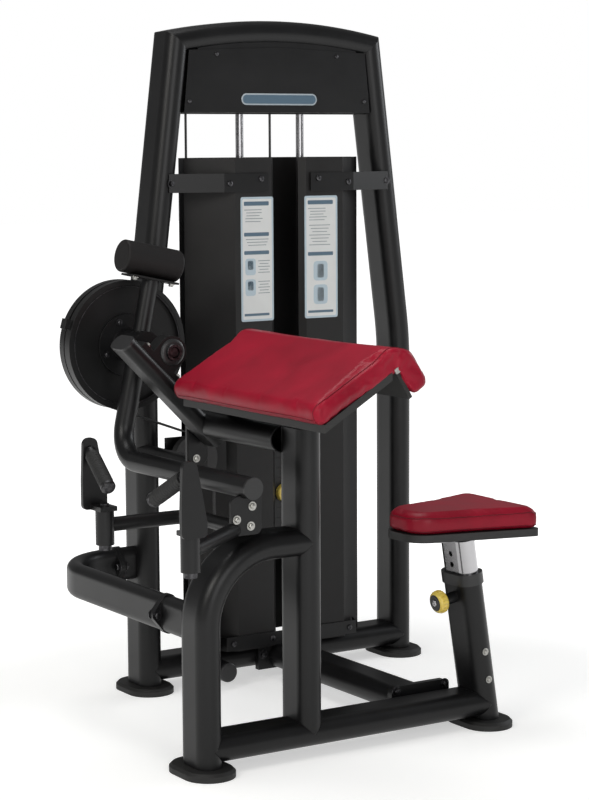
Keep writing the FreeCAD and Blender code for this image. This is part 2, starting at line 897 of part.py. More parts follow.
def axle(label, x, y, z, long, facing, both_ways=True):
    body = new_body(label)
    sketch = new_sketch(body, "XY_Plane", "round")
    circle(sketch, 0, 0, size.axle_radius)
    pad(body, sketch, long, both_ways=both_ways)
    stand(body, x, y, z, facing)


inner_deep = (size.beam_half_deep - size.beam_plate) * 2
axle("left_header_axle", header_left, 0, size.header_axis, inner_deep, "+Y")
axle("centre_header_axle", -size.header_groove, 0, size.header_axis, inner_deep, "+Y")

# Bridge tube from the left upright, its strap up to the pad cross tube, and the pulley plate on it
size.add(bridge_x=380, bridge_z=583, bridge_radius=25, strap_thick=8, strap_half=27, strap_low=548)
size.add(corner_spare=1, strap_rise=14.5)
size.add(pulley_plate_right=190, pulley_plate_half=45, pulley_plate_near=97, pulley_plate_far=89)


def round_tube(body, plane, x, y, radius, low, long, wall=None):
    sketch = new_sketch(body, plane, "round", low)
    circle(sketch, x, y, radius)
    if wall is not None:
        circle(sketch, x, y, radius - wall)
    pad(body, sketch, long)


def bridge():
    body = new_body("bridge_tube")
    near = size.cross_far - size.strap_thick
    round_tube(body, "XZ_Plane", -size.bridge_x, size.bridge_z, size.bridge_radius, 0, near, size.tube_wall)
    cope(body, "XY_Plane", -size.upright_out, 0)
    plate(
        "strap_plate",
        "XZ_Plane",
        [
            (-size.bridge_x - size.strap_half, size.strap_low, size.strap_half - size.corner_spare),
            (-size.bridge_x + size.strap_half, size.strap_low, size.strap_half - size.corner_spare),
            (-size.bridge_x + size.strap_half, size.cross_axis + size.strap_rise),
            (-size.bridge_x - size.strap_half, size.cross_axis + size.strap_rise),
        ],
        near,
        size.strap_thick,
    )
    low = size.bridge_z - size.pulley_plate_half
    high = size.bridge_z + size.pulley_plate_half
    left = -size.bridge_x + size.bridge_radius
    plate(
        "pulley_plate",
        "XZ_Plane",
        [(left, low), (-size.pulley_plate_right, low), (-size.pulley_plate_right, high), (left, high)],
        size.pulley_plate_far,
        size.pulley_plate_near - size.pulley_plate_far,
    )


bridge()
axle_far = -size.pulley_plate_near
axle_long = size.cam_y + size.pulley_half * 2 - size.pulley_plate_near
axle("side_pulley_axle", -size.side_pulley_x, axle_far, size.side_pulley_z, axle_long, "-Y", False)

size.add(clevis_plate=4, clevis_half=14, clevis_near=76, clevis_far=12, clevis_top=172)


def floor_clevis():
    body = new_body("floor_pulley_bracket")
    half = size.clevis_half
    outer = half + size.clevis_plate
    base = floor_top + size.clevis_plate
    sketch = new_sketch(body, "XZ_Plane", "outline", -size.clevis_far)
    outline(
        sketch,
        [
            (cable_x - outer, floor_top),
            (cable_x + outer, floor_top),
            (cable_x + outer, size.clevis_top),
            (cable_x + half, size.clevis_top),
            (cable_x + half, base),
            (cable_x - half, base),
            (cable_x - half, size.clevis_top),
            (cable_x - outer, size.clevis_top),
        ],
    )
    pad(body, sketch, size.clevis_near + size.clevis_far)
    bay = new_sketch(body, "YZ_Plane", "bay", cable_x)
    deep = size.clevis_near + size.cut_spare
    low = floor_top - size.cut_spare
    rim = size.tube_thick / 2
    outline(bay, [(-deep, low), (-rim, low), (-rim, base), (-deep, base + rim)])
    cut(body, bay)


floor_clevis()
axle("floor_pulley_axle", cable_x, -floor_groove, size.floor_axis, size.clevis_half * 2, "+X")

# Stub with a rubber end on the tower's base tube
size.add(stub_x=199, stub_z=42, stub_radius=24, stub_near=118, stub_cap=10)


def base_stub():
    body = new_body("base_stub")
    long = size.stub_near - size.stub_cap
    round_tube(body, "XZ_Plane", -size.stub_x, size.stub_z, size.stub_radius, 0, long)
    cope(body, "YZ_Plane", 0, size.base_axis, True)
    cap = new_body("base_stub_cap")
    radius = size.stub_radius
    turned(cap, [(0, 0), (radius, 0), (radius, size.stub_cap, size.stub_cap / 2), (0, size.stub_cap)])
    stand(cap, -size.stub_x, -long, size.stub_z, "-Y")


base_stub()

# Side loop: a bent flat-oval tube bolted between the front post and the left upright
size.add(loop_thick=40, loop_tall=80, loop_z=318, loop_bend=150, loop_near=553, loop_far=442)
size.add(flange_thick=8, diamond_half=44, diamond_tall=54, diamond_round=18)


def loop_section(body, plane, shift, x, y, name="section"):
    sketch = new_sketch(body, plane, name, shift)
    flat_oval(sketch, x, y, size.loop_thick, size.loop_tall)
    flat_oval(sketch, x, y, size.loop_thick - size.tube_wall * 2, size.loop_tall - size.tube_wall * 2)
    return sketch


def diamond(body, plane, shift, x, name):
    """The four-cornered flange plate at each end of the loop."""
    sketch = new_sketch(body, plane, name, shift)
    wide = size.diamond_half
    tall = size.diamond_tall
    low = size.loop_z - tall
    high = size.loop_z + tall
    edge = size.diamond_round
    middle = size.loop_z
    outline(sketch, [(x - wide, middle, edge), (x, low, edge), (x + wide, middle, edge), (x, high, edge)])
    pad(body, sketch, size.flange_thick)


def loop():
    body = new_body("loop_tube")
    near = -size.loop_near + size.flange_thick
    out = -size.front_post_out
    section = loop_section(body, "XZ_Plane", -near, out, size.loop_z)
    corners = [(out, near), (out, 0, size.loop_bend), (-size.loop_far - size.flange_thick, 0)]
    sweep(body, section, "XY_Plane", corners, size.loop_z)
    diamond(body, "XZ_Plane", -near, out, "near_flange")
    diamond(body, "YZ_Plane", -size.loop_far - size.flange_thick, 0, "far_flange")
    near_stub = new_body("loop_near_stub")
    section = loop_section(near_stub, "XZ_Plane", size.loop_near + size.flange_thick, out, size.loop_z)
    pad(near_stub, section, size.front_plane - size.loop_near - size.flange_thick)
    cope(near_stub, "XY_Plane", out, front)
    bend_low = size.front_run_axis - size.front_bend
    rise = size.loop_z + size.loop_tall / 2 - bend_low
    drift = size.front_bend - root(size.front_bend * size.front_bend - rise * rise)
    bend_cope = new_sketch(near_stub, "XY_Plane", "bend_cope", bend_low)
    flat_oval(bend_cope, out + drift, front, size.tube_thick, size.tube_deep)
    cut(near_stub, bend_cope, rise + size.cut_spare, reverse=True)
    diamond(near_stub, "XZ_Plane", size.loop_near, out, "flange")
    far_stub = new_body("loop_far_stub")
    inner = -size.loop_far + size.flange_thick
    section = loop_section(far_stub, "YZ_Plane", inner, 0, size.loop_z)
    pad(far_stub, section, -size.upright_out - inner)
    cope(far_stub, "XY_Plane", -size.upright_out, 0)
    diamond(far_stub, "YZ_Plane", -size.loop_far, 0, "flange")


loop()

# Connecting tube between the two frames, bolted through end plates
size.add(link_x=5, link_plate_half=80, link_plate_low=24, link_plate_high=100)


def link_plate(body, near, name):
    sketch = new_sketch(body, "XZ_Plane", name, near)
    left = -size.link_x - size.link_plate_half
    right = -size.link_x + size.link_plate_half
    low = size.link_plate_low
    high = size.link_plate_high
    edge = size.diamond_round
    outline(sketch, [(left, low), (right, low), (right, high, edge), (left, high, edge)])
    pad(body, sketch, size.flange_thick)


def link():
    tower_face = size.tube_deep / 2
    front_face = size.front_plane - size.tube_deep / 2
    thick = size.flange_thick
    link_plate(new_body("tower_flange"), tower_face, "outline")
    link_plate(new_body("front_flange"), front_face - thick, "outline")
    body = new_body("connecting_tube")
    start = tower_face + thick
    section = oval_section(body, "XZ_Plane", start, -size.link_x, size.base_axis, True)
    pad(body, section, front_face - thick - start)
    link_plate(body, start, "tower_plate")
    link_plate(body, front_face - thick * 2, "front_plate")


link()

# Cam wheel, its shaft and the two bearings that carry it

size.add(shaft_radius=12.5, shaft_gap=0.05, shaft_near=362, shaft_far=64, bearing_y=333, bearing_long=40)
size.add(bearing_ring=36, bearing_base_half=66, bearing_base_high=14, strut_thick=40, strut_deep=80)
size.add(strut_reach=95, strut_cap=6, strut_turn=45, bearing_rise=42.9, cam_rim_wall=12, cam_lip=2)
size.add(clamp_angle=164, clamp_long=24, clamp_high=11, clamp_half=12)
size.add(far_plate_near=80, far_plate_far=68, far_plate_out=524, far_plate_in=345, far_plate_half=48)


def cam_wheel():
    body = new_body("cam_wheel")
    half = size.cam_half
    web = half - size.cam_web
    bore = size.shaft_radius
    rim = size.cam_rim
    inner = rim - size.cam_rim_wall
    groove = size.cam_groove - size.cable_radius - size.cable_gap
    turned(
        body,
        [
            (bore, -web),
            (inner, -web),
            (inner, -half),
            (rim, -half),
            (rim, -size.groove_half),
            (groove, -size.groove_half),
            (groove, size.groove_half),
            (rim, size.groove_half),
            (rim, half),
            (inner, half),
            (inner, web),
            (bore, web),
        ],
    )
    lug = new_sketch(body, "XY_Plane", "cable_lug", -size.clamp_half)
    corners = []
    for reach, along in (
        (groove - size.cable_gap, size.cable_gap),
        (rim + size.clamp_high, size.cable_gap),
        (rim + size.clamp_high, size.clamp_long),
        (groove - size.cable_gap, size.clamp_long),
    ):
        x = cosine(size.clamp_angle) * reach + sine(size.clamp_angle) * along
        y = sine(size.clamp_angle) * reach - cosine(size.clamp_angle) * along
        corners.append((x, y))
    outline(lug, corners)
    pad(body, lug, size.clamp_half * 2)
    stand(body, -size.cam_x, -size.cam_y, size.cam_z, "-Y")


def shaft():
    body = new_body("pivot_shaft")
    long = size.shaft_near - size.shaft_far
    radius = size.shaft_radius
    edge = size.cam_lip
    turned(body, [(0, 0), (radius, 0), (radius, long - edge), (radius - edge, long), (0, long)])
    stand(body, -size.cam_x, -size.shaft_far, size.cam_z, "-Y")


def near_bearing():
    body = new_body("near_bearing_block")
    sketch = new_sketch(body, "XZ_Plane", "outline")
    low = -size.bearing_rise
    base = low + size.bearing_base_high
    foot = size.bearing_base_half
    ring = size.bearing_ring
    edge = ring - size.corner_spare
    outline(
        sketch,
        [
            (-foot, low),
            (foot, low),
            (foot, base),
            (ring, base),
            (ring, ring, edge),
            (-ring, ring, edge),
            (-ring, base),
            (-foot, base),
        ],
    )
    circle(sketch, 0, 0, size.shaft_radius + size.shaft_gap)
    pad(body, sketch, size.bearing_long, both_ways=True)
    stand(body, -size.cam_x, -size.bearing_y, size.cam_z, angle=size.strut_turn)


def strut():
    body = new_body("bearing_strut")
    down = (size.bearing_rise + size.strut_thick / 2) * sine(size.strut_turn)
    reach = size.strut_reach * cosine(size.strut_turn)
    start_x = -size.cam_x - down - reach
    start_z = size.cam_z - down + reach
    lean = (start_x, -size.bearing_y, size.strut_turn + 90)
    section = new_sketch(body, "XY_Plane", "section", start_z, lean)
    flat_oval(section, 0, 0, size.strut_thick, size.strut_deep)
    inner = size.strut_thick - size.tube_wall * 2
    flat_oval(section, 0, 0, inner, size.strut_deep - size.tube_wall * 2)
    end_x = -size.centre_post_out
    corners = [(start_x, start_z), (end_x, start_z - (end_x - start_x))]
    sweep(body, section, "XZ_Plane", corners, size.bearing_y)
    cope(body, "XZ_Plane", -size.centre_post_out, size.cross_axis, True)
    cap = new_body("strut_cap")
    lid = new_sketch(cap, "XY_Plane", "lid", start_z, lean)
    flat_oval(lid, 0, 0, size.strut_thick, size.strut_deep)
    pad(cap, lid, size.strut_cap, reverse=True)


def far_bearing():
    body = new_body("far_bearing_plate")
    sketch = new_sketch(body, "XZ_Plane", "outline", size.far_plate_far)
    half = size.far_plate_half
    low = size.cam_z - half
    high = size.cam_z + half
    left = -size.far_plate_out
    right = -size.far_plate_in
    edge = half - size.corner_spare
    outline(sketch, [(left, low, edge), (right, low), (right, high), (left, high, edge)])
    circle(sketch, -size.cam_x, size.cam_z, size.shaft_radius + size.shaft_gap)
    pad(body, sketch, size.far_plate_near - size.far_plate_far)
    block = new_sketch(body, "XZ_Plane", "block", size.tube_deep / 2)
    block_left = -size.upright_out - size.tube_thick / 2
    outline(block, [(block_left, low), (right, low), (right, high), (block_left, high)])
    pad(body, block, size.far_plate_far - size.tube_deep / 2)


cam_wheel()
shaft()
near_bearing()
strut()
far_bearing()


def along_points(points, radii):
    """Straight runs and tangent arcs through points in space, as one wire."""
    spots = [Vector(*[number(value) for value in point]) for point in points]
    edges = []
    start = spots[0]
    for index in range(1, len(spots) - 1):
        arrive = (spots[index] - spots[index - 1]).normalize()
        leave = (spots[index + 1] - spots[index]).normalize()
        turn = arrive.getAngle(leave)
        radius = number(radii[index - 1])
        back = radius * math.tan(turn / 2)
        first = spots[index] - arrive * back
        last = spots[index] + leave * back
        inward = (leave - arrive).normalize()
        centre = spots[index] + inward * (radius / math.cos(turn / 2))
        middle = centre - inward * radius
        if (first - start).Length > 1e-6:
            edges.append(Part.LineSegment(start, first).toShape())
        edges.append(Part.Arc(first, middle, last).toShape())
        start = last
    if (spots[-1] - start).Length > 1e-6:
        edges.append(Part.LineSegment(start, spots[-1]).toShape())
    return Part.Wire(edges)


def swept_round(wire, radius, wall=None):
    """A round bar, or a tube with a wall, along a wire."""
    edge = wire.OrderedEdges[0]
    start = edge.valueAt(edge.FirstParameter)
    way = edge.tangentAt(edge.FirstParameter)
    bars = []
    for reach in (radius,) if wall is None else (radius, radius - wall):
        ring = Part.Wire([Part.Circle(start, way, number(reach)).toShape()])
        bars.append(wire.makePipeShell([ring], True, False))
    return bars[0] if wall is None else bars[0].cut(bars[1])


def shaped(label, shape):
    """A piece whose form is worked out in space."""
    feature = document.addObject("Part::Feature", label)
    feature.Shape = shape
    feature.Label = label
    sub_parts.append(feature)
    return feature


# Movement arm: hub on the shaft, bent tube down and forward, counterweight above
size.add(arm_y=195, hub_radius=38, hub_near=235, hub_flange=72, hub_flange_thick=9, arm_radius=23.5)
size.add(arm_knee_x=533, arm_axis_z=607, arm_bend=80, arm_end_x=516, arm_end_y=755, arm_cap=6)
size.add(weight_lean=12, weight_axis=198, weight_radius=37.5, weight_half=74, weight_tube=20)
size.add(weight_plate_half=60, weight_plate_deep=30, weight_plate_thick=5, weight_shift=10)


def arm_hub():
    body = new_body("arm_hub")
    web = size.cam_y + size.cam_half - size.cam_web
    flange = size.hub_flange_thick
    long = size.hub_near - web
    bore = size.shaft_radius
    turned(
        body,
        [
            (bore, 0),
            (size.hub_flange, 0),
            (size.hub_flange, flange),
            (size.hub_radius, flange),
            (size.hub_radius, long),
            (bore, long),
        ],
    )
    stand(body, -size.cam_x, -web, size.cam_z, "-Y")


def hub_cylinder(radius):
    """The hub's outside, to shape what is welded to it."""
    base = Vector(-number(size.cam_x), -number(size.hub_near), number(size.cam_z))
    return Part.makeCylinder(number(radius), number(size.hub_near), base, Vector(0, 1, 0))


def movement_arm():
    arm = (-size.arm_y, size.arm_axis_z)
    points = [
        (-size.cam_x, arm[0], size.cam_z),
        (-size.arm_knee_x, arm[0], arm[1]),
        (-size.arm_end_x, -size.arm_end_y, arm[1]),
    ]
    wire = along_points(points, [size.arm_bend])
    tube = swept_round(wire, size.arm_radius, size.tube_wall).cut(hub_cylinder(size.hub_radius))
    tube = max(tube.Solids, key=lambda solid: solid.Volume)
    shaped("arm_tube", tube)
    last = wire.OrderedEdges[-1]
    way = last.tangentAt(last.LastParameter)
    end = Vector(*[number(value) for value in points[-1]])
    radius = number(size.arm_radius)
    shaped("arm_end_cap", Part.makeCylinder(radius, number(size.arm_cap), end, way))


def counterweight():
    low = size.weight_axis - size.weight_radius - size.weight_plate_thick
    mast = new_body("weight_mast")
    round_tube(mast, "XY_Plane", 0, 0, size.weight_tube, 0, low)
    hub = new_sketch(mast, "XZ_Plane", "hub")
    circle(hub, 0, 0, size.hub_radius)
    cut(mast, hub)
    stand(mast, -size.cam_x, -size.arm_y, size.cam_z, angle=size.weight_lean)
    seat = new_body("weight_seat_plate")
    sketch = new_sketch(seat, "XY_Plane", "outline", low)
    half = size.weight_plate_half
    deep = size.weight_plate_deep
    outline(sketch, [(-half, -deep), (half, -deep), (half, deep), (-half, deep)])
    pad(seat, sketch, size.weight_plate_thick)
    stand(seat, -size.cam_x, -size.arm_y, size.cam_z, angle=size.weight_lean)
    body = new_body("counterweight")
    sketch = new_sketch(body, "YZ_Plane", "round", -size.weight_half - size.weight_shift)
    circle(sketch, 0, size.weight_axis, size.weight_radius)
    pad(body, sketch, size.weight_half * 2)
    document.recompute()
    ends = [f"Edge{i}" for i, edge in enumerate(body.Shape.Edges, 1) if isinstance(edge.Curve, Part.Circle)]
    soften(body, "Fillet", ends, size.arm_cap)
    stand(body, -size.cam_x, -size.arm_y, size.cam_z, angle=size.weight_lean)


arm_hub()
movement_arm()
counterweight()

# Handle carrier: a bent round tube bolted to the arm's end plate, with a barrel at each end
size.add(carrier_radius=15.5, carrier_z=517, carrier_x=525, carrier_bend=45, barrel_x=736, barrel_out=183)
size.add(barrel_radius=20, barrel_low=475, barrel_high=548, pin_body_radius=10, elbow_out=12)
size.add(end_plate_left=554, end_plate_right=479.5, end_plate_low=505, end_plate_thick=9)
size.add(handle_swing_gap=0.3, nut_radius=14, nut_high=11, washer=1)


def handle_barrel(side):
    middle = number(front) + side * number(size.barrel_out)
    base = Vector(-number(size.barrel_x), middle, number(size.barrel_low))
    long = number(size.barrel_high - size.barrel_low)
    outer = Part.makeCylinder(number(size.barrel_radius), long, base)
    bore = Part.makeCylinder(number(size.pin_body_radius + size.shaft_gap), long, base)
    return outer, bore


def handle_carrier():
    x = -size.carrier_x
    far = front + size.barrel_out
    near = front - size.barrel_out
    points = [
        (-size.barrel_x, far, size.carrier_z),
        (x, far, size.carrier_z),
        (x, front - size.elbow_out, size.carrier_z),
        (-size.barrel_x, near, size.carrier_z),
    ]
    line = along_points(points, [size.carrier_bend, size.carrier_bend / 2])
    tube = swept_round(line, size.carrier_radius)
    bores = []
    for side in (1, -1):
        outer, bore = handle_barrel(side)
        tube = tube.fuse(outer)
        bores.append(bore)
    for bore in bores:
        tube = tube.cut(bore)
    shaped("handle_carrier", tube.removeSplitter())


def end_plate():
    body = new_body("arm_end_plate")
    near = -front + size.elbow_out + size.carrier_radius
    sketch = new_sketch(body, "XZ_Plane", "outline", near)
    high = size.arm_axis_z
    edge = size.carrier_radius
    left = -size.end_plate_left
    right = -size.end_plate_right
    low = size.end_plate_low
    corners = [(left, low, edge), (right, low, edge), (right, high)]
    outline(sketch, corners + [(left, high - size.arm_radius, edge)])
    pad(body, sketch, size.end_plate_thick)
    hole = new_sketch(body, "XZ_Plane", "tube_seat", near)
    drift_share = (near - size.arm_y) / (size.arm_end_y - size.arm_y)
    tube_x = -size.arm_knee_x + (size.arm_knee_x - size.arm_end_x) * drift_share
    circle(hole, tube_x, size.arm_axis_z, size.arm_radius + size.handle_swing_gap)
    cut(body, hole)
    room = document.addObject("Part::Feature", "carrier_room")
    room.Shape = part_named("handle_carrier").Shape
    coped = document.addObject("Part::Cut", "arm_end_plate_coped")
    coped.Base = body
    coped.Tool = room
    body.Label = "arm_end_plate_blank"
    replace_part(body, coped, "arm_end_plate")


handle_carrier()
end_plate()

# Handles: a flat bracket that swivels on the barrel's pin, and a rubber grip that reaches inwards
size.add(bracket_thick=10, bracket_inner=208, bracket_high=702, bracket_top=31)
size.add(grip_outer_x=755, grip_inner_x=771, grip_outer_z=674, grip_inner_z=610, grip_inner_out=95)
size.add(grip_core=12.5, grip_radius=15.5, grip_cap=8, bracket_base=10)
size.add(bracket_left=38, bracket_shoulder=30, bracket_heel=60, pin_head_high=5)


def handle(name, side):
    bracket = new_body(name + "_handle_bracket")
    plate_face = front + size.bracket_inner * side
    near = -plate_face if side < 0 else -plate_face - size.bracket_thick
    low = size.barrel_high + size.handle_swing_gap
    x = -size.barrel_x
    left = x - size.bracket_left
    radius = size.barrel_radius
    sketch = new_sketch(bracket, "XZ_Plane", "outline", near)
    top_left = -size.grip_outer_x - size.bracket_top / 2
    top_right = -size.grip_outer_x + size.bracket_top / 2
    edge = size.bracket_top / 2 - size.corner_spare
    outline(
        sketch,
        [
            (left, low, size.nut_high),
            (x + radius, low, size.nut_high),
            (x + radius, low + size.bracket_shoulder),
            (top_right, size.bracket_high, edge),
            (top_left, size.bracket_high, edge),
            (left, low + size.bracket_heel),
        ],
    )
    pad(bracket, sketch, size.bracket_thick)
    base = new_sketch(bracket, "XY_Plane", "base", low)
    middle = front + size.barrel_out * side
    inner = middle - radius * side
    spots = [(x - radius, inner), (x + radius, inner), (x + radius, plate_face), (x - radius, plate_face)]
    outline(base, spots if side > 0 else spots[::-1])
    pad(bracket, base, size.bracket_base)
    hole = new_sketch(bracket, "XY_Plane", "pin_hole", low)
    circle(hole, x, middle, size.pin_body_radius)
    cut(bracket, hole)
    start = Vector(-number(size.grip_outer_x), number(plate_face), number(size.grip_outer_z))
    end = Vector(
        -number(size.grip_inner_x), number(front + size.grip_inner_out * side), number(size.grip_inner_z)
    )
    way = (end - start).normalize()
    long = (end - start).Length
    core = number(size.grip_core)
    cap = number(size.grip_cap)
    outer = number(size.grip_radius)
    lead = cap * 2
    tube = Part.makeCylinder(core, long - cap, start, way)
    room = number(size.front_plane)
    keep_y = number(plate_face) - (room if side > 0 else 0)
    keep = Part.makeBox(room * 2, room, room * 2, Vector(-room * 2, keep_y, 0))
    shaped(name + "_grip_tube", tube.common(keep))
    first = start + way * lead
    sleeve = Part.makeCylinder(outer, long - cap - lead, first, way)
    sleeve = sleeve.cut(Part.makeCylinder(core, long - cap - lead, first, way))
    shaped(name + "_grip", sleeve)
    button = Part.makeCylinder(outer, cap, end - way * cap, way)
    rings = [edge for edge in button.Edges if isinstance(edge.Curve, Part.Circle)]
    rim = [ring for ring in rings if (ring.Curve.Center - end).Length < 1e-6]
    shaped(name + "_grip_cap", button.makeFillet(cap / 3, rim))
    pin = new_body(name + "_handle_pin")
    radius = size.pin_body_radius
    head = size.nut_radius
    bottom = size.barrel_low - size.handle_swing_gap
    top = low + size.bracket_base + size.pin_head_high
    turned(
        pin,
        [
            (0, bottom - size.nut_high),
            (head, bottom - size.nut_high),
            (head, bottom),
            (radius, bottom),
            (radius, top),
            (0, top),
        ],
    )
    stand(pin, x, middle, 0)


handle("far", 1)
handle("near", -1)

# Seat: chrome tube in the leaning post, its plate, the board and the upholstered pad
size.add(seat_tube_thick=48, seat_tube_deep=95, seat_tube_low=150, seat_tube_high=423, collar_wall=4)
size.add(collar_high=26, slide_gap=0.4, seat_hole_pitch=25, seat_hole_radius=6.5)
seat_hole_rows = range(-4, 5)
size.add(seat_plate_low=442, seat_plate_thick=5, seat_plate_half_long=100, seat_plate_half_wide=60)
size.add(seat_board_thick=17, seat_pad_high=49, seat_pad_gap=0.3, seat_nose_x=108, seat_back_x=194)
size.add(seat_nose_half=64, seat_back_half=138, seat_nose_round=60, seat_back_round=14, seat_board_inset=2)


def on_seat_axis(body):
    stand(body, size.seat_foot_x, front, size.foot_high, angle=-size.seat_lean)
    return body


post_long = (size.seat_post_top - size.foot_high) / cosine(size.seat_lean)
size.add(seat_pin_along=291.7, seat_pin_radius=6, seat_knob_far=83, seat_knob_long=24, seat_knob_radius=25)
size.add(pin_sleeve_radius=13, pin_sleeve_end=58, seat_knob_round=7)


def post_collar():
    body = new_body("post_collar")
    low = post_long
    sketch = new_sketch(body, "XY_Plane", "rim", low)
    flat_oval(sketch, 0, 0, size.tube_thick + size.collar_wall * 2, size.tube_deep + size.collar_wall * 2)
    inner = size.slide_gap * 2
    flat_oval(sketch, 0, 0, size.seat_tube_thick + inner, size.seat_tube_deep + inner)
    pad(body, sketch, size.collar_high)
    on_seat_axis(body)


def seat_tube():
    body = new_body("seat_tube")
    sketch = new_sketch(body, "XY_Plane", "section", size.seat_tube_low)
    flat_oval(sketch, 0, 0, size.seat_tube_thick, size.seat_tube_deep)
    wall = size.tube_wall * 2
    flat_oval(sketch, 0, 0, size.seat_tube_thick - wall, size.seat_tube_deep - wall)
    pad(body, sketch, size.seat_tube_high - size.seat_tube_low)
    holes = new_sketch(body, "YZ_Plane", "holes")
    for row in seat_hole_rows:
        circle(holes, 0, size.seat_pin_along + size.seat_hole_pitch * row, size.seat_hole_radius)
    cut(body, holes, size.seat_tube_thick, reverse=False)
    on_seat_axis(body)


def seat_plate():
    body = new_body("seat_plate")
    slope = tangent(size.seat_lean)
    top_x = size.seat_foot_x - slope * (size.seat_plate_low - size.foot_high)
    sketch = new_sketch(body, "XY_Plane", "outline", size.seat_plate_low)
    left = top_x - size.seat_plate_half_long
    right = top_x + size.seat_plate_half_long
    half = size.seat_plate_half_wide
    edge = size.seat_plate_half_wide / 4
    spots = ((left, front - half), (right, front - half), (right, front + half), (left, front + half))
    outline(sketch, [(x, y, edge) for x, y in spots])
    pad(body, sketch, size.seat_plate_thick)
    stem = new_sketch(body, "XZ_Plane", "saddle", size.front_plane)
    end_x = size.seat_foot_x - sine(size.seat_lean) * size.seat_tube_high
    end_z = size.foot_high + cosine(size.seat_lean) * size.seat_tube_high
    half_thick = size.seat_tube_thick / 2
    dx = cosine(size.seat_lean) * half_thick
    dz = sine(size.seat_lean) * half_thick
    low = size.seat_plate_low
    outline(stem, [(end_x - dx, end_z - dz), (end_x + dx, end_z + dz), (end_x + dx, low), (end_x - dx, low)])
    pad(body, stem, size.seat_tube_deep - size.seat_tube_thick, both_ways=True)


def seat_outline(sketch, inset):
    """A rounded triangle: a narrow nose towards the arm pad and a broad back."""
    nose = -size.seat_nose_x + inset
    back = size.seat_back_x - inset
    nose_half = size.seat_nose_half - inset
    back_half = size.seat_back_half - inset
    nose_round = size.seat_nose_round - inset
    back_round = size.seat_back_round
    outline(
        sketch,
        [
            (nose, front - nose_half, nose_round),
            (back, front - back_half, back_round),
            (back, front + back_half, back_round),
            (nose, front + nose_half, nose_round),
        ],
    )


def lofted(body, sections):
    feature = body.newObject("PartDesign::AdditiveLoft", body.Name + "_loft")
    feature.Profile = sections[0]
    feature.Sections = sections[1:]
    feature.Ruled = True
    document.recompute()
    return feature


seat_board_low = size.seat_plate_low + size.seat_plate_thick
seat_pad_low = seat_board_low + size.seat_board_thick + size.seat_pad_gap
# Each pad level is a share of the pad's height with a share of the inset at its top
seat_level_shares = ((0, 0.18), (0.12, 0.0), (0.62, 0.0), (0.84, 0.3), (0.95, 0.75), (1, 1.6))
size.add(pad_inset=20)


def seat_cushion():
    board = new_body("seat_board")
    sketch = new_sketch(board, "XY_Plane", "outline", seat_board_low)
    seat_outline(sketch, size.seat_board_inset)
    pad(board, sketch, size.seat_board_thick)
    body = new_body("seat_pad")
    sections = []
    for number_up, (up_share, inset_share) in enumerate(seat_level_shares):
        height = seat_pad_low + size.seat_pad_high * up_share
        level = new_sketch(body, "XY_Plane", f"level_{number_up}", height)
        seat_outline(level, size.pad_inset * inset_share)
        sections.append(level)
    lofted(body, sections)


def seat_pull_pin():
    sleeve = new_body("seat_pin_sleeve")
    sketch = new_sketch(sleeve, "YZ_Plane", "ring", -size.pin_sleeve_end)
    circle(sketch, 0, size.seat_pin_along, size.pin_sleeve_radius)
    circle(sketch, 0, size.seat_pin_along, size.seat_pin_radius + size.shaft_gap)
    pad(sleeve, sketch, size.pin_sleeve_end - size.tube_thick / 2 * cosine(size.seat_lean))
    on_seat_axis(sleeve)
    pin = new_body("seat_pin")
    sketch = new_sketch(pin, "YZ_Plane", "round", -size.seat_knob_far)
    circle(sketch, 0, size.seat_pin_along, size.seat_pin_radius)
    pad(pin, sketch, size.seat_knob_far - size.seat_tube_thick / 2 + size.tube_wall)
    on_seat_axis(pin)
    knob = new_body("seat_pin_knob")
    long = size.seat_knob_long
    radius = size.seat_knob_radius
    edge = size.seat_knob_round
    bore = size.seat_pin_radius
    turned(knob, [(bore, 0), (radius, 0, edge), (radius, long, edge), (bore, long)])
    far = size.pin_sleeve_end + size.washer
    along = size.seat_pin_along
    x = size.seat_foot_x - sine(size.seat_lean) * along - cosine(size.seat_lean) * far
    z = size.foot_high + cosine(size.seat_lean) * along - sine(size.seat_lean) * far
    stand(knob, x, front, z, angle=-size.seat_lean - 90)


def seat_pin_way():
    """The hole through the post's wall that the pull pin passes."""
    body = part_named("seat_post")
    x = size.seat_foot_x - sine(size.seat_lean) * size.seat_pin_along
    z = size.foot_high + cosine(size.seat_lean) * size.seat_pin_along
    way = Rotation(Vector(0, 1, 0), number(-size.seat_lean) - 90)
    sketch = new_sketch(body, "XY_Plane", "pin_way", z, (x, front, -size.seat_lean - 90))
    circle(sketch, 0, 0, size.seat_hole_radius)
    cut(body, sketch, size.tube_thick, reverse=True)


post_collar()
seat_tube()
seat_plate()
seat_cushion()
seat_pull_pin()
seat_pin_way()

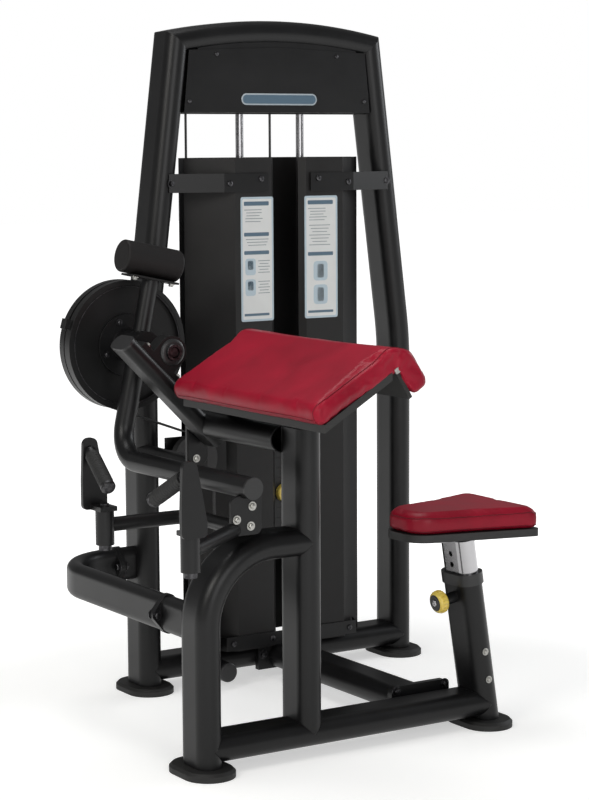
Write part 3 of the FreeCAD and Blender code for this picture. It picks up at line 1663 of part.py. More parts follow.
# Arm pad: a sloping slab with a flap folded down on the user's side, on a board and two brackets
size.add(pad_ridge_x=317, pad_ridge_z=911, pad_fold_x=270, pad_fold_z=898, flap_x=235, flap_high=839)
size.add(flap_low=821, flap_inner_x=265, flap_inner_z=805, under_fold_x=302, under_fold_z=868)
size.add(pad_low_x=520, pad_low_z=786, pad_edge_x=500, pad_edge_z=752, pad_half=296)
size.add(arm_board_thick=15, arm_board_half=286, arm_board_short=17, pad_bracket_thick=8)
size.add(pad_bracket_near=680, pad_bracket_far=440, pad_bracket_left=455, pad_bracket_right=335)
size.add(board_drop=0.5, bracket_foot_left=385, bracket_foot_right=338)
size.add(low_round=20, ridge_round=34, fold_round=20, flap_round=14, flap_low_round=6, flap_inner_round=8)
pad_corners = (
    (-size.pad_low_x, size.pad_low_z, size.low_round),
    (-size.pad_ridge_x, size.pad_ridge_z, size.ridge_round),
    (-size.pad_fold_x, size.pad_fold_z, size.fold_round),
    (-size.flap_x, size.flap_high, size.flap_round),
    (-size.flap_x, size.flap_low, size.flap_low_round),
    (-size.flap_inner_x, size.flap_inner_z, size.flap_inner_round),
    (-size.under_fold_x, size.under_fold_z, size.fold_round),
    (-size.pad_edge_x, size.pad_edge_z, size.flap_round),
)
# Each station is a share of the half width with a share of the profile that is left there
pad_station_shares = ((-1, 0.93), (-0.98, 0.985), (-0.93, 1), (0, 1.012), (0.93, 1), (0.98, 0.985), (1, 0.93))
size.add(pad_middle_x=375, pad_middle_z=842)


def arm_pad():
    body = new_body("arm_pad")
    sections = []
    for index, (reach_share, left_share) in enumerate(pad_station_shares):
        shift = size.front_plane + size.pad_half * reach_share
        sketch = new_sketch(body, "XZ_Plane", f"station_{index}", shift)
        corners = []
        for x, z, radius in pad_corners:
            corners.append(
                (
                    (x + size.pad_middle_x) * left_share - size.pad_middle_x,
                    (z - size.pad_middle_z) * left_share + size.pad_middle_z,
                    radius * left_share,
                )
            )
        outline(sketch, corners)
        sections.append(sketch)
    lofted(body, sections)


def arm_pad_board():
    body = new_body("arm_pad_board")
    sketch = new_sketch(body, "XZ_Plane", "outline", size.front_plane - size.arm_board_half)
    rise = (size.under_fold_z - size.pad_edge_z) / (size.pad_edge_x - size.under_fold_x)
    left = -size.pad_edge_x + size.arm_board_short
    right = -size.under_fold_x - size.arm_board_short
    drop = size.board_drop
    across = size.arm_board_thick * root(rise * rise + 1)

    def under(x):
        return size.pad_edge_z + (x + size.pad_edge_x) * rise - drop

    low_edge = (left, under(left) - across)
    high_edge = (right, under(right) - across)
    outline(sketch, [(right, under(right)), high_edge, low_edge, (left, under(left))])
    pad(body, sketch, size.arm_board_half * 2)
    for name, place in (("near", size.pad_bracket_near), ("far", size.pad_bracket_far)):
        low = size.cross_axis + size.tube_thick / 2
        a = -size.pad_bracket_left
        b = -size.pad_bracket_right
        feet_spots = [(-size.bracket_foot_left, low), (-size.bracket_foot_right, low)]
        spots = feet_spots + [(b, under(b) - across), (a, under(a) - across)]
        plate(name + "_pad_bracket", "XZ_Plane", spots, place, size.pad_bracket_thick)


arm_pad()
arm_pad_board()

# Cable: from the clamp on the cam rim round the four pulleys to the stack's stem


def cable():
    groove = number(size.cam_groove)
    side = number(size.side_groove)
    header = number(size.header_groove)
    cam = Vector(-number(size.cam_x), -number(size.cam_y), number(size.cam_z))
    wheel = Vector(-number(size.side_pulley_x), -number(size.cam_y), number(size.side_pulley_z))
    gap = wheel - cam
    tilt = math.asin((groove + side) / gap.Length)
    way = math.atan2(gap.z, gap.x) + tilt
    normal = Vector(math.sin(way), 0, -math.cos(way))
    leave = cam + normal * groove
    meet = wheel - normal * side
    begin_angle = math.radians(number(size.clamp_angle))
    begin = cam + Vector(math.cos(begin_angle), 0, math.sin(begin_angle)) * groove
    middle_angle = (begin_angle + math.atan2(normal.z, normal.x) + 2 * math.pi) / 2
    middle = cam + Vector(math.cos(middle_angle), 0, math.sin(middle_angle)) * groove
    x = number(cable_x)
    low = number(size.floor_axis)
    deep = number(floor_groove)
    top = number(size.header_axis)
    left = number(header_left)
    half_turn = Vector(math.cos(math.pi / 4), 0, math.sin(math.pi / 4))
    down = Vector(x, wheel.y, wheel.z)
    up_angle = (way + math.pi / 2) / 2
    crest = wheel + Vector(math.cos(up_angle), 0, math.sin(up_angle)) * side
    spots = [
        Part.Arc(begin, middle, leave),
        Part.LineSegment(leave, meet),
        Part.Arc(meet, crest, down),
        Part.LineSegment(down, Vector(x, -2 * deep, low)),
        Part.Arc(Vector(x, -2 * deep, low), Vector(x, -deep, low - deep), Vector(x, 0, low)),
        Part.LineSegment(Vector(x, 0, low), Vector(x, 0, top)),
        Part.Arc(
            Vector(x, 0, top),
            Vector(left - header * half_turn.x, 0, top + header * half_turn.z),
            Vector(left, 0, top + header),
        ),
        Part.LineSegment(Vector(left, 0, top + header), Vector(-header, 0, top + header)),
        Part.Arc(
            Vector(-header, 0, top + header),
            Vector(-header + header * half_turn.x, 0, top + header * half_turn.z),
            Vector(0, 0, top),
        ),
    ]
    wire = Part.Wire([spot.toShape() for spot in spots])
    shaped("cable", swept_round(wire, size.cable_radius))
    run = new_body("stack_cable")
    end = stem_top + size.cable_fitting_high
    section = new_sketch(run, "XY_Plane", "round", end)
    circle(section, 0, 0, size.cable_radius)
    pad(run, section, size.header_axis - end)
    fitting = new_body("cable_fitting")
    radius = size.cable_fitting_radius
    high = size.cable_fitting_high
    edge = radius - size.cable_radius * 1.5
    turned(fitting, [(0, 0), (radius, 0), (radius, high / 2), (radius - edge, high), (0, high)])
    stand(fitting, 0, 0, stem_top)


cable()

# The floor pulley passes the left shroud's wing through a notch at its foot
size.add(notch_in=212, notch_high=228)


def notch_shroud():
    shroud_part = part_named("left_front_shroud")
    shroud_part.Label = "left_front_shroud_blank"
    block = document.addObject("Part::Box", "shroud_notch")
    block.Length = number(size.shroud_out - size.notch_in + size.cut_spare)
    bind(block, "Length", size.shroud_out - size.notch_in + size.cut_spare)
    block.Width = number(size.shroud_front)
    bind(block, "Width", size.shroud_front)
    block.Height = number(size.notch_high)
    bind(block, "Height", size.notch_high)
    block.Placement.Base = Vector(-number(size.shroud_out + size.cut_spare), -number(size.shroud_front), 0)
    bind(block, "Placement.Base.x", -size.shroud_out - size.cut_spare)
    bind(block, "Placement.Base.y", -size.shroud_front)
    notched = document.addObject("Part::Cut", "left_front_shroud_notched")
    notched.Base = shroud_part
    notched.Tool = block
    replace_part(shroud_part, notched, "left_front_shroud")


notch_shroud()

# Like pieces that share a node, and pieces that are welded into one
shared_nodes = {
    "uprights": ("left_upright", "right_upright"),
    "header_covers": ("header_front_cover", "header_rear_cover"),
    "front_shrouds": ("left_front_shroud", "right_front_shroud"),
    "shroud_bars": ("left_upper_bar", "right_upper_bar", "left_lower_strip", "right_lower_strip"),
    "pulley_axles": ("left_header_axle", "centre_header_axle", "side_pulley_axle", "floor_pulley_axle"),
    "frame_flanges": ("tower_flange", "front_flange", "loop_near_stub", "loop_far_stub"),
    "tube_end_trims": ("strut_cap", "base_stub_cap", "post_collar"),
    "pad_brackets": ("near_pad_bracket", "far_pad_bracket"),
}
welded_nodes = {
    "pulley_bridge": ("bridge_tube", "strap_plate", "pulley_plate"),
    "arm_hub": ("arm_hub", "weight_mast", "weight_seat_plate"),
    "tower_base_tube": ("tower_base_tube", "base_stub"),
    "seat_post": ("seat_post", "seat_pin_sleeve"),
    "seat_tube": ("seat_tube", "seat_plate"),
    "far_handle_bracket": ("far_handle_bracket", "far_grip_tube", "far_grip_cap"),
    "near_handle_bracket": ("near_handle_bracket", "near_grip_tube", "near_grip_cap"),
    "selector_stem": ("selector_stem", "head_plate", "cable_fitting"),
    "header_beam": ("header_beam", "rod_top_bar"),
}


def gather(label, names, kind, link):
    pieces = [part_named(name) for name in names]
    document.recompute()
    for piece in pieces:
        piece.Label = piece.Label + "_piece"
    node = document.addObject(kind, label + "_node")
    setattr(node, link, pieces)
    sub_parts[sub_parts.index(pieces[0])] = node
    for piece in pieces[1:]:
        sub_parts.remove(piece)
    node.Label = label


for label, names in shared_nodes.items():
    gather(label, names, "Part::Compound", "Links")
for label, names in welded_nodes.items():
    gather(label, names, "Part::MultiFuse", "Shapes")

document.recompute()

# The origin is the middle of the footprint, on the floor
room = FreeCAD.BoundBox()
for part in sub_parts:
    room.add(part.Shape.optimalBoundingBox(True, False))
middle = Vector((room.XMin + room.XMax) / 2, (room.YMin + room.YMax) / 2, 0)
print("origin from the tower's middle", round(middle.x, 4), round(middle.y, 4), "box", room)
for part in sub_parts:
    place = part.Placement
    part.setExpression("Placement.Base.x", None)
    part.setExpression("Placement.Base.y", None)
    part.Placement = Placement(place.Base - middle, place.Rotation)
document.recompute()

for thing in document.Objects:
    if "Invalid" in thing.State or "Error" in thing.State:
        raise ValueError(thing.Name + " failed: " + str(thing.State))
for part in sub_parts:
    if part.Shape.isNull() or not part.Shape.isValid() or not part.Shape.Solids:
        raise ValueError(part.Label + " has no valid solid")

os.makedirs("parts", exist_ok=True)
for part in sub_parts:
    part.Shape.exportStep(f"parts/{part.Label}.step")
print(len(sub_parts), "nodes")
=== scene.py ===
import math
import bmesh
import bpy
from mathutils import Matrix, Vector
from mathutils.bvhtree import BVHTree


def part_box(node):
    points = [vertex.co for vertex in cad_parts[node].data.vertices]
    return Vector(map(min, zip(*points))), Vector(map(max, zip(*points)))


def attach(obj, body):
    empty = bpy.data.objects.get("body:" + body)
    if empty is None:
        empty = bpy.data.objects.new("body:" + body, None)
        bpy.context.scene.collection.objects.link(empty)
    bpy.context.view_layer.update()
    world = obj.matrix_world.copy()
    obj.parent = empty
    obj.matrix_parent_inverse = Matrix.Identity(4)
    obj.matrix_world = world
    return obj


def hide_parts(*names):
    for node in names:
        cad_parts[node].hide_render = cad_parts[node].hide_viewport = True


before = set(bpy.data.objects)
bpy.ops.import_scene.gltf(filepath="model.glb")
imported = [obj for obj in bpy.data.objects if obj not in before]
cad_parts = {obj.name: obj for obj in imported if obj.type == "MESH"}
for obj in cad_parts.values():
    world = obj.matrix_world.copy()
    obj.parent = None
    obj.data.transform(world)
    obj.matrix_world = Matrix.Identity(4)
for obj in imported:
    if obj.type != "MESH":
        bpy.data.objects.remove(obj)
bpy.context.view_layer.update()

# Camera: it stands at the user's left, a little above the pads, and looks slightly down.
scene = bpy.context.scene
camera_data = bpy.data.cameras.new("camera")
camera_data.sensor_fit = "VERTICAL"
camera_data.sensor_height = 36
camera_data.lens = 98.05
camera_data.shift_y = 0.002
camera = bpy.data.objects.new("camera", camera_data)
scene.collection.objects.link(camera)
aim = Matrix.Rotation(math.radians(-32.366), 4, "Z")
aim @= Matrix.Rotation(math.radians(83.318), 4, "X")
aim @= Matrix.Rotation(math.radians(-0.3215), 4, "Z")
camera.matrix_world = Matrix.Translation((-2.65871, -4.13487, 1.31336)) @ aim
scene.camera = camera
scene.view_settings.view_transform = "Standard"

# Studio floor: painted board in a pale colour that meets a white backdrop. It is not part of the
# machine. It shows white to the camera and in reflections, and keeps the machine's shadow.


def from_hex(code):
    """An sRGB hex colour as linear red, green, blue and alpha."""
    channels = [int(code[i : i + 2], 16) / 255 for i in (1, 3, 5)]
    linear = [c / 12.92 if c <= 0.04045 else ((c + 0.055) / 1.055) ** 2.4 for c in channels]
    return (*linear, 1.0)


def add_node(tree, kind, feeds=None, **settings):
    """Add one node. A feed is a plain value or another node's output."""
    node = tree.nodes.new("ShaderNode" + kind)
    for name, value in settings.items():
        setattr(node, name, value)
    for name, feed in (feeds or {}).items():
        if isinstance(feed, bpy.types.NodeSocket):
            tree.links.new(feed, node.inputs[name])
        else:
            node.inputs[name].default_value = feed
    return node


def start_material(name):
    """A new material with its node tree and its surface shader."""
    material = bpy.data.materials.new(name)
    material.use_nodes = True
    return material, material.node_tree, material.node_tree.nodes["Principled BSDF"]


floor_paint, tree, shader = start_material("pale_floor_paint")
shader.inputs["Base Color"].default_value = from_hex("#dcdcda")
shader.inputs["Roughness"].default_value = 0.9
rays = add_node(tree, "LightPath")
seen = {0: rays.outputs["Is Camera Ray"], 1: rays.outputs["Is Glossy Ray"]}
camera_or_gloss = add_node(tree, "Math", seen, operation="MAXIMUM")
seen = {0: camera_or_gloss.outputs[0], 1: rays.outputs["Is Transmission Ray"]}
shown = add_node(tree, "Math", seen, operation="MAXIMUM")
spot = add_node(tree, "VectorMath", {0: add_node(tree, "TexCoord").outputs["Object"]}, operation="LENGTH")
fade = {"Value": spot.outputs["Value"], "From Min": 0.9, "From Max": 2.2, "To Min": 0.5, "To Max": 1.0}
reach = add_node(tree, "MapRange", fade)
glow = add_node(tree, "Math", {0: shown.outputs[0], 1: reach.outputs[0]}, operation="MULTIPLY")
white_light = add_node(tree, "Emission", {"Color": from_hex("#ffffff"), "Strength": glow.outputs[0]})
both = add_node(tree, "AddShader", {0: shader.outputs[0], 1: white_light.outputs[0]})
tree.links.new(both.outputs[0], tree.nodes["Material Output"].inputs["Surface"])

floor_mesh = bpy.data.meshes.new("studio_floor")
floor_mesh.from_pydata([(-30, -30, 0), (30, -30, 0), (30, 30, 0), (-30, 30, 0)], [], [(0, 1, 2, 3)])
floor = bpy.data.objects.new("studio_floor", floor_mesh)
floor.location.z = -0.0002
floor_mesh.materials.append(floor_paint)
scene.collection.objects.link(floor)

world = bpy.data.worlds.new("studio")
scene.world = world
world.use_nodes = True
sky = world.node_tree
rays = add_node(sky, "LightPath")
seen = {0: rays.outputs["Is Camera Ray"], 1: rays.outputs["Is Transmission Ray"]}
shown = add_node(sky, "Math", seen, operation="MAXIMUM")
level = add_node(sky, "MapRange", {"Value": shown.outputs[0], "To Min": 0.22, "To Max": 1.0})
sky.links.new(level.outputs[0], sky.nodes["Background"].inputs["Strength"])
sky.nodes["Background"].inputs["Color"].default_value = from_hex("#ffffff")

for name, place, wide, power, colour in (
    ("key_panel", (-4.2, -1.6, 3.2), 1.8, 85, "#fffdf8"),
    ("front_panel", (-1.2, -4.6, 2.0), 2.4, 62, "#ffffff"),
    ("side_panel", (4.0, -0.6, 2.2), 1.6, 45, "#f8fbff"),
    ("top_panel", (-0.4, 0.6, 4.4), 2.0, 55, "#ffffff"),
):
    lamp_data = bpy.data.lights.new(name, "AREA")
    lamp_data.size = wide
    lamp_data.energy = power
    lamp_data.color = from_hex(colour)[:3]
    lamp = bpy.data.objects.new(name, lamp_data)
    lamp.location = place
    lamp.rotation_euler = (Vector((0, -0.1, 0.7)) - Vector(place)).to_track_quat("-Z", "Y").to_euler()
    scene.collection.objects.link(lamp)

# Frame: flat-oval steel tubes, welded, blasted and powder coated satin black in an oven.
# The baked coat has a fine orange peel, and its edges are painted a little paler, partly as wear and partly as
# a painted highlight.


def baked_coat(name, dark, light, rough, peel_mm, edge_mm=1.2):
    """Powder coat: fine peel in the bump, cloudy gloss, softened edges painted a touch paler as wear and as a
    painted highlight.
    """
    material, tree, shader = start_material(name)
    place = add_node(tree, "TexCoord").outputs["Object"]
    cloud = add_node(tree, "TexNoise", {"Vector": place, "Scale": 9.0, "Detail": 5.0, "Roughness": 0.6})
    peel = add_node(tree, "TexNoise", {"Vector": place, "Scale": 1000 / peel_mm, "Detail": 2.0})
    soft_edge = add_node(tree, "Bevel", {"Radius": edge_mm / 1000}, samples=4)
    plain = add_node(tree, "NewGeometry")
    normals = {0: soft_edge.outputs[0], 1: plain.outputs["Normal"]}
    match = add_node(tree, "VectorMath", normals, operation="DOT_PRODUCT")
    # The edge mask paints edges paler (#2b2a29): partly wear, partly a painted highlight where edges catch the
    # light.
    edge = {"Value": match.outputs["Value"], "From Min": 0.99, "From Max": 0.75, "To Max": 0.55}
    edge_wear_and_highlight = add_node(tree, "MapRange", edge)
    tone = add_node(tree, "ValToRGB", {"Fac": cloud.outputs["Fac"]})
    tone.color_ramp.elements[0].position = 0.35
    tone.color_ramp.elements[0].color = from_hex(dark)
    tone.color_ramp.elements[1].position = 0.7
    tone.color_ramp.elements[1].color = from_hex(light)
    wear_and_highlight_tone = add_node(tree, "Mix", data_type="RGBA")
    tree.links.new(edge_wear_and_highlight.outputs[0], wear_and_highlight_tone.inputs[0])
    tree.links.new(tone.outputs["Color"], wear_and_highlight_tone.inputs[6])
    wear_and_highlight_tone.inputs[7].default_value = from_hex("#2b2a29")
    shader.inputs["Specular IOR Level"].default_value = 0.3
    gloss = add_node(
        tree, "MapRange", {"Value": cloud.outputs["Fac"], "To Min": rough - 0.05, "To Max": rough + 0.08}
    )
    relief = add_node(
        tree,
        "Bump",
        {"Strength": 0.12, "Distance": 0.0004, "Height": peel.outputs["Fac"], "Normal": soft_edge.outputs[0]},
    )
    tree.links.new(wear_and_highlight_tone.outputs[2], shader.inputs["Base Color"])
    tree.links.new(gloss.outputs[0], shader.inputs["Roughness"])
    tree.links.new(relief.outputs[0], shader.inputs["Normal"])
    return material


def finish_with(material, *names):
    """Give CAD nodes their surface."""
    for name in names:
        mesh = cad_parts[name].data
        mesh.materials.clear()
        mesh.materials.append(material)


tube_coat = baked_coat("satin_black_powder_coat", "#0f0f10", "#151516", 0.36, 2.5)
finish_with(
    tube_coat, "uprights", "top_arch_tube", "tower_base_tube", "front_post", "centre_post", "pad_cross_tube",
    "front_base_tube", "seat_post", "pulley_bridge", "floor_pulley_bracket", "loop_tube", "frame_flanges",
    "connecting_tube", "bearing_strut", "far_bearing_plate", "pad_brackets", "arm_tube", "handle_carrier",
    "arm_end_plate", "far_handle_bracket", "near_handle_bracket", "arm_hub", "shroud_bars",
)

# Feet: black natural rubber, moulded with a flared sole and pushed over the tube ends.
# Rubber is matt, and flecked all over with pale dust.


def moulded_rubber(name, dark, dusty, rough):
    material, tree, shader = start_material(name)
    place = add_node(tree, "TexCoord").outputs["Object"]
    dust = add_node(tree, "TexNoise", {"Vector": place, "Scale": 60.0, "Detail": 6.0, "Roughness": 0.7})
    grain = add_node(tree, "TexNoise", {"Vector": place, "Scale": 900.0, "Detail": 1.0})
    tone = add_node(tree, "ValToRGB", {"Fac": dust.outputs["Fac"]})
    tone.color_ramp.elements[0].position = 0.45
    tone.color_ramp.elements[0].color = from_hex(dark)
    tone.color_ramp.elements[1].position = 0.85
    tone.color_ramp.elements[1].color = from_hex(dusty)
    relief = add_node(tree, "Bump", {"Strength": 0.3, "Distance": 0.0003, "Height": grain.outputs["Fac"]})
    tree.links.new(tone.outputs["Color"], shader.inputs["Base Color"])
    tree.links.new(relief.outputs[0], shader.inputs["Normal"])
    shader.inputs["Roughness"].default_value = rough
    shader.inputs["IOR"].default_value = 1.52
    return material


foot_rubber = moulded_rubber("black_moulded_rubber", "#121211", "#1f1e1d", 0.62)
finish_with(foot_rubber, "rubber_feet", "stack_bumpers")

# Tube ends and wheels: injection-moulded black nylon, with the fine spark texture of the mould.


def spark_moulded(name, colour, rough):
    material, tree, shader = start_material(name)
    place = add_node(tree, "TexCoord").outputs["Object"]
    spark = add_node(tree, "TexVoronoi", {"Vector": place, "Scale": 1100.0})
    cloud = add_node(tree, "TexNoise", {"Vector": place, "Scale": 30.0, "Detail": 3.0})
    relief = add_node(tree, "Bump", {"Strength": 0.18, "Distance": 0.0003, "Height": spark.outputs["Distance"]})
    gloss = add_node(
        tree, "MapRange", {"Value": cloud.outputs["Fac"], "To Min": rough - 0.06, "To Max": rough + 0.06}
    )
    tone = add_node(tree, "HueSaturation", {"Color": from_hex(colour)})
    light = add_node(tree, "MapRange", {"Value": cloud.outputs["Fac"], "To Min": 0.85, "To Max": 1.2})
    tree.links.new(light.outputs[0], tone.inputs["Value"])
    tree.links.new(tone.outputs[0], shader.inputs["Base Color"])
    tree.links.new(relief.outputs[0], shader.inputs["Normal"])
    tree.links.new(gloss.outputs[0], shader.inputs["Roughness"])
    shader.inputs["IOR"].default_value = 1.53
    return material


black_nylon = spark_moulded("black_moulded_nylon", "#1a1a1b", 0.42)
finish_with(
    black_nylon, "tube_end_trims", "arm_end_cap", "side_pulley", "floor_pulley", "left_header_pulley",
    "centre_header_pulley",
)

# Header: folded sheet steel covers over the pulley beam, coated like the frame but smoother.
# Four small screws hold the front cover, and an oval badge is stuck on under the bare maker's place.

cover_coat = baked_coat("smooth_black_powder_coat", "#151516", "#1a1a1b", 0.34, 1.6, 0.8)
finish_with(cover_coat, "header_beam", "header_covers")

MM = 0.001


def at(x, y, z):
    """A place given in mm from the middle of the tower's foot."""
    return Vector((x * MM + 0.18004, y * MM + 0.451, z * MM))


def facing(place, way):
    """Stand a piece at a place with its own Z along a direction."""
    return Matrix.Translation(place) @ Vector(way).to_track_quat("Z", "Y").to_matrix().to_4x4()


def keep(shape, name, material, body, smooth=True, split=math.radians(35)):
    """Turn a finished bmesh into a piece that rides on a body."""
    mesh = bpy.data.meshes.new(name)
    bmesh.ops.recalc_face_normals(shape, faces=shape.faces)
    shape.to_mesh(mesh)
    shape.free()
    mesh.materials.append(material)
    if smooth:
        mesh.shade_smooth()
        mesh.set_sharp_from_angle(angle=split)
    piece = bpy.data.objects.new(name, mesh)
    scene.collection.objects.link(piece)
    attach(piece, body)
    return piece


def lathe(shape, place, profile, sides=32):
    """Turn (radius, height) steps in mm about the piece's own Z."""
    rings = []
    for radius, height in profile:
        if radius == 0:
            rings.append([shape.verts.new(place @ Vector((0, 0, height * MM)))])
            continue
        ring = []
        for step in range(sides):
            angle = 2 * math.pi * step / sides
            spot = Vector((math.cos(angle) * radius * MM, math.sin(angle) * radius * MM, height * MM))
            ring.append(shape.verts.new(place @ spot))
        rings.append(ring)
    for low, high in zip(rings, rings[1:]):
        for step in range(sides):
            corners = [low[step % len(low)], low[(step + 1) % len(low)]]
            corners += [high[(step + 1) % len(high)], high[step % len(high)]]
            corners = list(dict.fromkeys(corners))
            if len(corners) > 2:
                shape.faces.new(corners)


def prism(shape, place, corners, low, high, edge=0.0):
    """A flat piece: an outline in mm raised from low to high, its top edge drawn in."""
    middle = sum((Vector(c) for c in corners), Vector((0, 0))) / len(corners)
    rings = []
    for height, inset in ((low, 0), (high - edge, 0), (high, edge)):
        ring = []
        for corner in corners:
            spot = Vector(corner)
            inward = (middle - spot).normalized() * inset
            corner_spot = Vector(((spot.x + inward.x) * MM, (spot.y + inward.y) * MM, height * MM))
            ring.append(shape.verts.new(place @ corner_spot))
        rings.append(ring)
    count = len(corners)
    for lower, upper in zip(rings, rings[1:]):
        for step in range(count):
            shape.faces.new([lower[step], lower[(step + 1) % count], upper[(step + 1) % count], upper[step]])
    shape.faces.new(rings[0][::-1])
    shape.faces.new(rings[-1])


def zinc_plate(name, pale, deep, rough):
    """Bright zinc plating over steel: it spangles a little and scratches finely."""
    material, tree, shader = start_material(name)
    place = add_node(tree, "TexCoord").outputs["Object"]
    spangle = add_node(tree, "TexNoise", {"Vector": place, "Scale": 140.0, "Detail": 4.0})
    tone = add_node(tree, "ValToRGB", {"Fac": spangle.outputs["Fac"]})
    tone.color_ramp.elements[0].position = 0.3
    tone.color_ramp.elements[0].color = from_hex(deep)
    tone.color_ramp.elements[1].position = 0.75
    tone.color_ramp.elements[1].color = from_hex(pale)
    gloss = add_node(
        tree, "MapRange", {"Value": spangle.outputs["Fac"], "To Min": rough - 0.07, "To Max": rough + 0.1}
    )
    tree.links.new(tone.outputs["Color"], shader.inputs["Base Color"])
    tree.links.new(gloss.outputs[0], shader.inputs["Roughness"])
    shader.inputs["Metallic"].default_value = 1.0
    return material


zinc = zinc_plate("bright_zinc_plated_steel", "#b9b8b4", "#8d8c88", 0.3)
black_oxide = zinc_plate("black_oxide_steel", "#5b5a5c", "#2e2e30", 0.38)

header_face = -46
screw_head = ((0, -0.3), (5.5, -0.3), (5.5, 0.6), (4.4, 2.2), (2, 2.9), (1.4, 2.2), (0, 2.2))
screws = bmesh.new()
for x, z in ((-176, 1533), (167, 1533), (-252, 1421), (248, 1423)):
    lathe(screws, facing(at(x, header_face, z), (0, -1, 0)), screw_head, 20)
keep(screws, "header_screws", black_oxide, "frame")

# Header lip: the cover's folded top edge, which follows the underside of the arched top tube.

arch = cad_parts["top_arch_tube"]
under_arch = BVHTree.FromObject(arch, bpy.context.evaluated_depsgraph_get())
lip = bmesh.new()
previous = None
for step in range(41):
    x = -226 + 452 * step / 40
    found = under_arch.ray_cast(at(x, -43, 1480), Vector((0, 0, 1)))[0]
    if found is None:
        continue
    low = at(x, -43, 1536)
    high = found - Vector((0, 0, 0.0006))
    back = Vector((0, 0.0012, 0))
    pair = [lip.verts.new(spot) for spot in (low, high, high + back, low + back)]
    if previous is None:
        lip.faces.new(pair[::-1])
    else:
        for side in range(4):
            after = (side + 1) % 4
            lip.faces.new([previous[side], previous[after], pair[after], pair[side]])
    previous = pair
lip.faces.new(previous)
keep(lip, "header_top_lip", cover_coat, "frame")


def oval(half_wide, half_tall, steps=20):
    """A stadium outline in mm."""
    spots = []
    reach = half_wide - half_tall
    for side in (1, -1):
        for step in range(steps + 1):
            angle = -math.pi / 2 + math.pi * step / steps
            spots.append((side * (reach + math.cos(angle) * half_tall), side * math.sin(angle) * half_tall))
    return spots


def vinyl(name, colour, rough=0.35):
    """Printed vinyl with a clear laminate: even colour under a faintly uneven gloss."""
    material, tree, shader = start_material(name)
    place = add_node(tree, "TexCoord").outputs["Object"]
    ripple = add_node(tree, "TexNoise", {"Vector": place, "Scale": 25.0, "Detail": 2.0})
    tone = add_node(tree, "HueSaturation", {"Color": from_hex(colour)})
    light = add_node(tree, "MapRange", {"Value": ripple.outputs["Fac"], "To Min": 0.94, "To Max": 1.05})
    relief = add_node(tree, "Bump", {"Strength": 0.05, "Distance": 0.0005, "Height": ripple.outputs["Fac"]})
    tree.links.new(light.outputs[0], tone.inputs["Value"])
    tree.links.new(tone.outputs[0], shader.inputs["Base Color"])
    tree.links.new(relief.outputs[0], shader.inputs["Normal"])
    shader.inputs["Roughness"].default_value = rough
    return material


rim_vinyl = vinyl("silver_grey_vinyl", "#b9c4cb", 0.3)
slate_vinyl = vinyl("slate_blue_vinyl", "#5b7486", 0.3)
badge_face = facing(at(0, header_face, 1427), (0, -1, 0))
badge = bmesh.new()
prism(badge, badge_face, oval(108, 14), -0.2, 1.0, 0.4)
keep(badge, "header_badge_rim", rim_vinyl, "frame")
badge = bmesh.new()
prism(badge, badge_face, oval(104.5, 10.5), 0.9, 1.5, 0.3)
keep(badge, "header_badge", slate_vinyl, "frame")

# Shrouds: pressed sheet steel in front of and behind the stack, coated with a finer, duller black.
# Flat bars with two screws each tie them to the uprights and to the base tube.

shroud_coat = baked_coat("dull_black_powder_coat", "#171616", "#1e1d1d", 0.45, 1.8, 0.8)
finish_with(shroud_coat, "front_shrouds", "rear_shroud")

HEX = [(math.cos(math.radians(60 * k)), math.sin(math.radians(60 * k))) for k in range(6)]


def hex_bolt(shape, place, across=13.0, high=6.5, washer=1.6):
    """A hexagon head with its chamfer on a plain washer, sizes in mm."""
    radius = across / 2 / math.cos(math.radians(30))
    lathe(shape, place, ((0, -0.3), (across * 0.92, -0.3), (across * 0.92, washer), (across * 0.5, washer)), 28)
    prism(shape, place, [(x * radius, y * radius) for x, y in HEX], washer, washer + high, 0.7)
    crown = washer + high
    lathe(shape, place, ((across * 0.44, crown - 0.1), (across * 0.36, crown + 0.25), (0, crown + 0.25)), 20)


bar_screw = ((0, -0.3), (7.5, -0.3), (7.5, 0.8), (6.4, 2.8), (4, 3.8), (2.4, 3.9), (2.2, 2.6), (0, 2.6))
screws = bmesh.new()
for side in (-1, 1):
    for x, y, z in ((82, -92.8, 1236), (170, -92.8, 1226), (59, -92.8, 106), (170, -92.8, 105)):
        spot = facing(at(x * side, y, z), (0, -1, 0))
        lathe(screws, spot, bar_screw, 24)
keep(screws, "shroud_bar_screws", black_oxide, "frame")
bolts = bmesh.new()
for side in (-1, 1):
    hex_bolt(bolts, facing(at(309 * side, -54.6, 1227), (-0.29 * side, -1, 0)), 12, 5)
keep(bolts, "shroud_bar_bolts", black_oxide, "frame")

# Placards: printed vinyl on the shroud faces beside the slot, white with a pale border.
# They carry plain bars and panels in place of text and pictures.

white_vinyl = vinyl("white_vinyl", "#e9ebea")
border_vinyl = vinyl("pale_blue_vinyl", "#c2d3dd")
grey_vinyl = vinyl("mid_grey_vinyl", "#8d979d")


def rounded(wide, tall, corner, steps=5):
    """A rounded rectangle about its middle, in mm."""
    spots = []
    for x, y, start in ((1, -1, -90), (1, 1, 0), (-1, 1, 90), (-1, -1, 180)):
        for step in range(steps + 1):
            angle = math.radians(start + 90 * step / steps)
            across = x * (wide / 2 - corner) + math.cos(angle) * corner
            up = y * (tall / 2 - corner) + math.sin(angle) * corner
            spots.append((across, up))
    return spots


def shroud_face(side):
    """The plane of the flat stretch of a front shroud, as seen by who faces it."""
    inner = at(50 * side, -86, 1043)
    outer = at(155 * side, -90, 1043)
    across = (outer - inner).normalized() * side
    out = across.cross(Vector((0, 0, 1)))
    middle = inner.lerp(outer, (92 - 50) / (155 - 50)) + out * 0.0001
    turn = Matrix((across, (0, 0, 1), out)).transposed().to_4x4()
    return Matrix.Translation(middle) @ turn


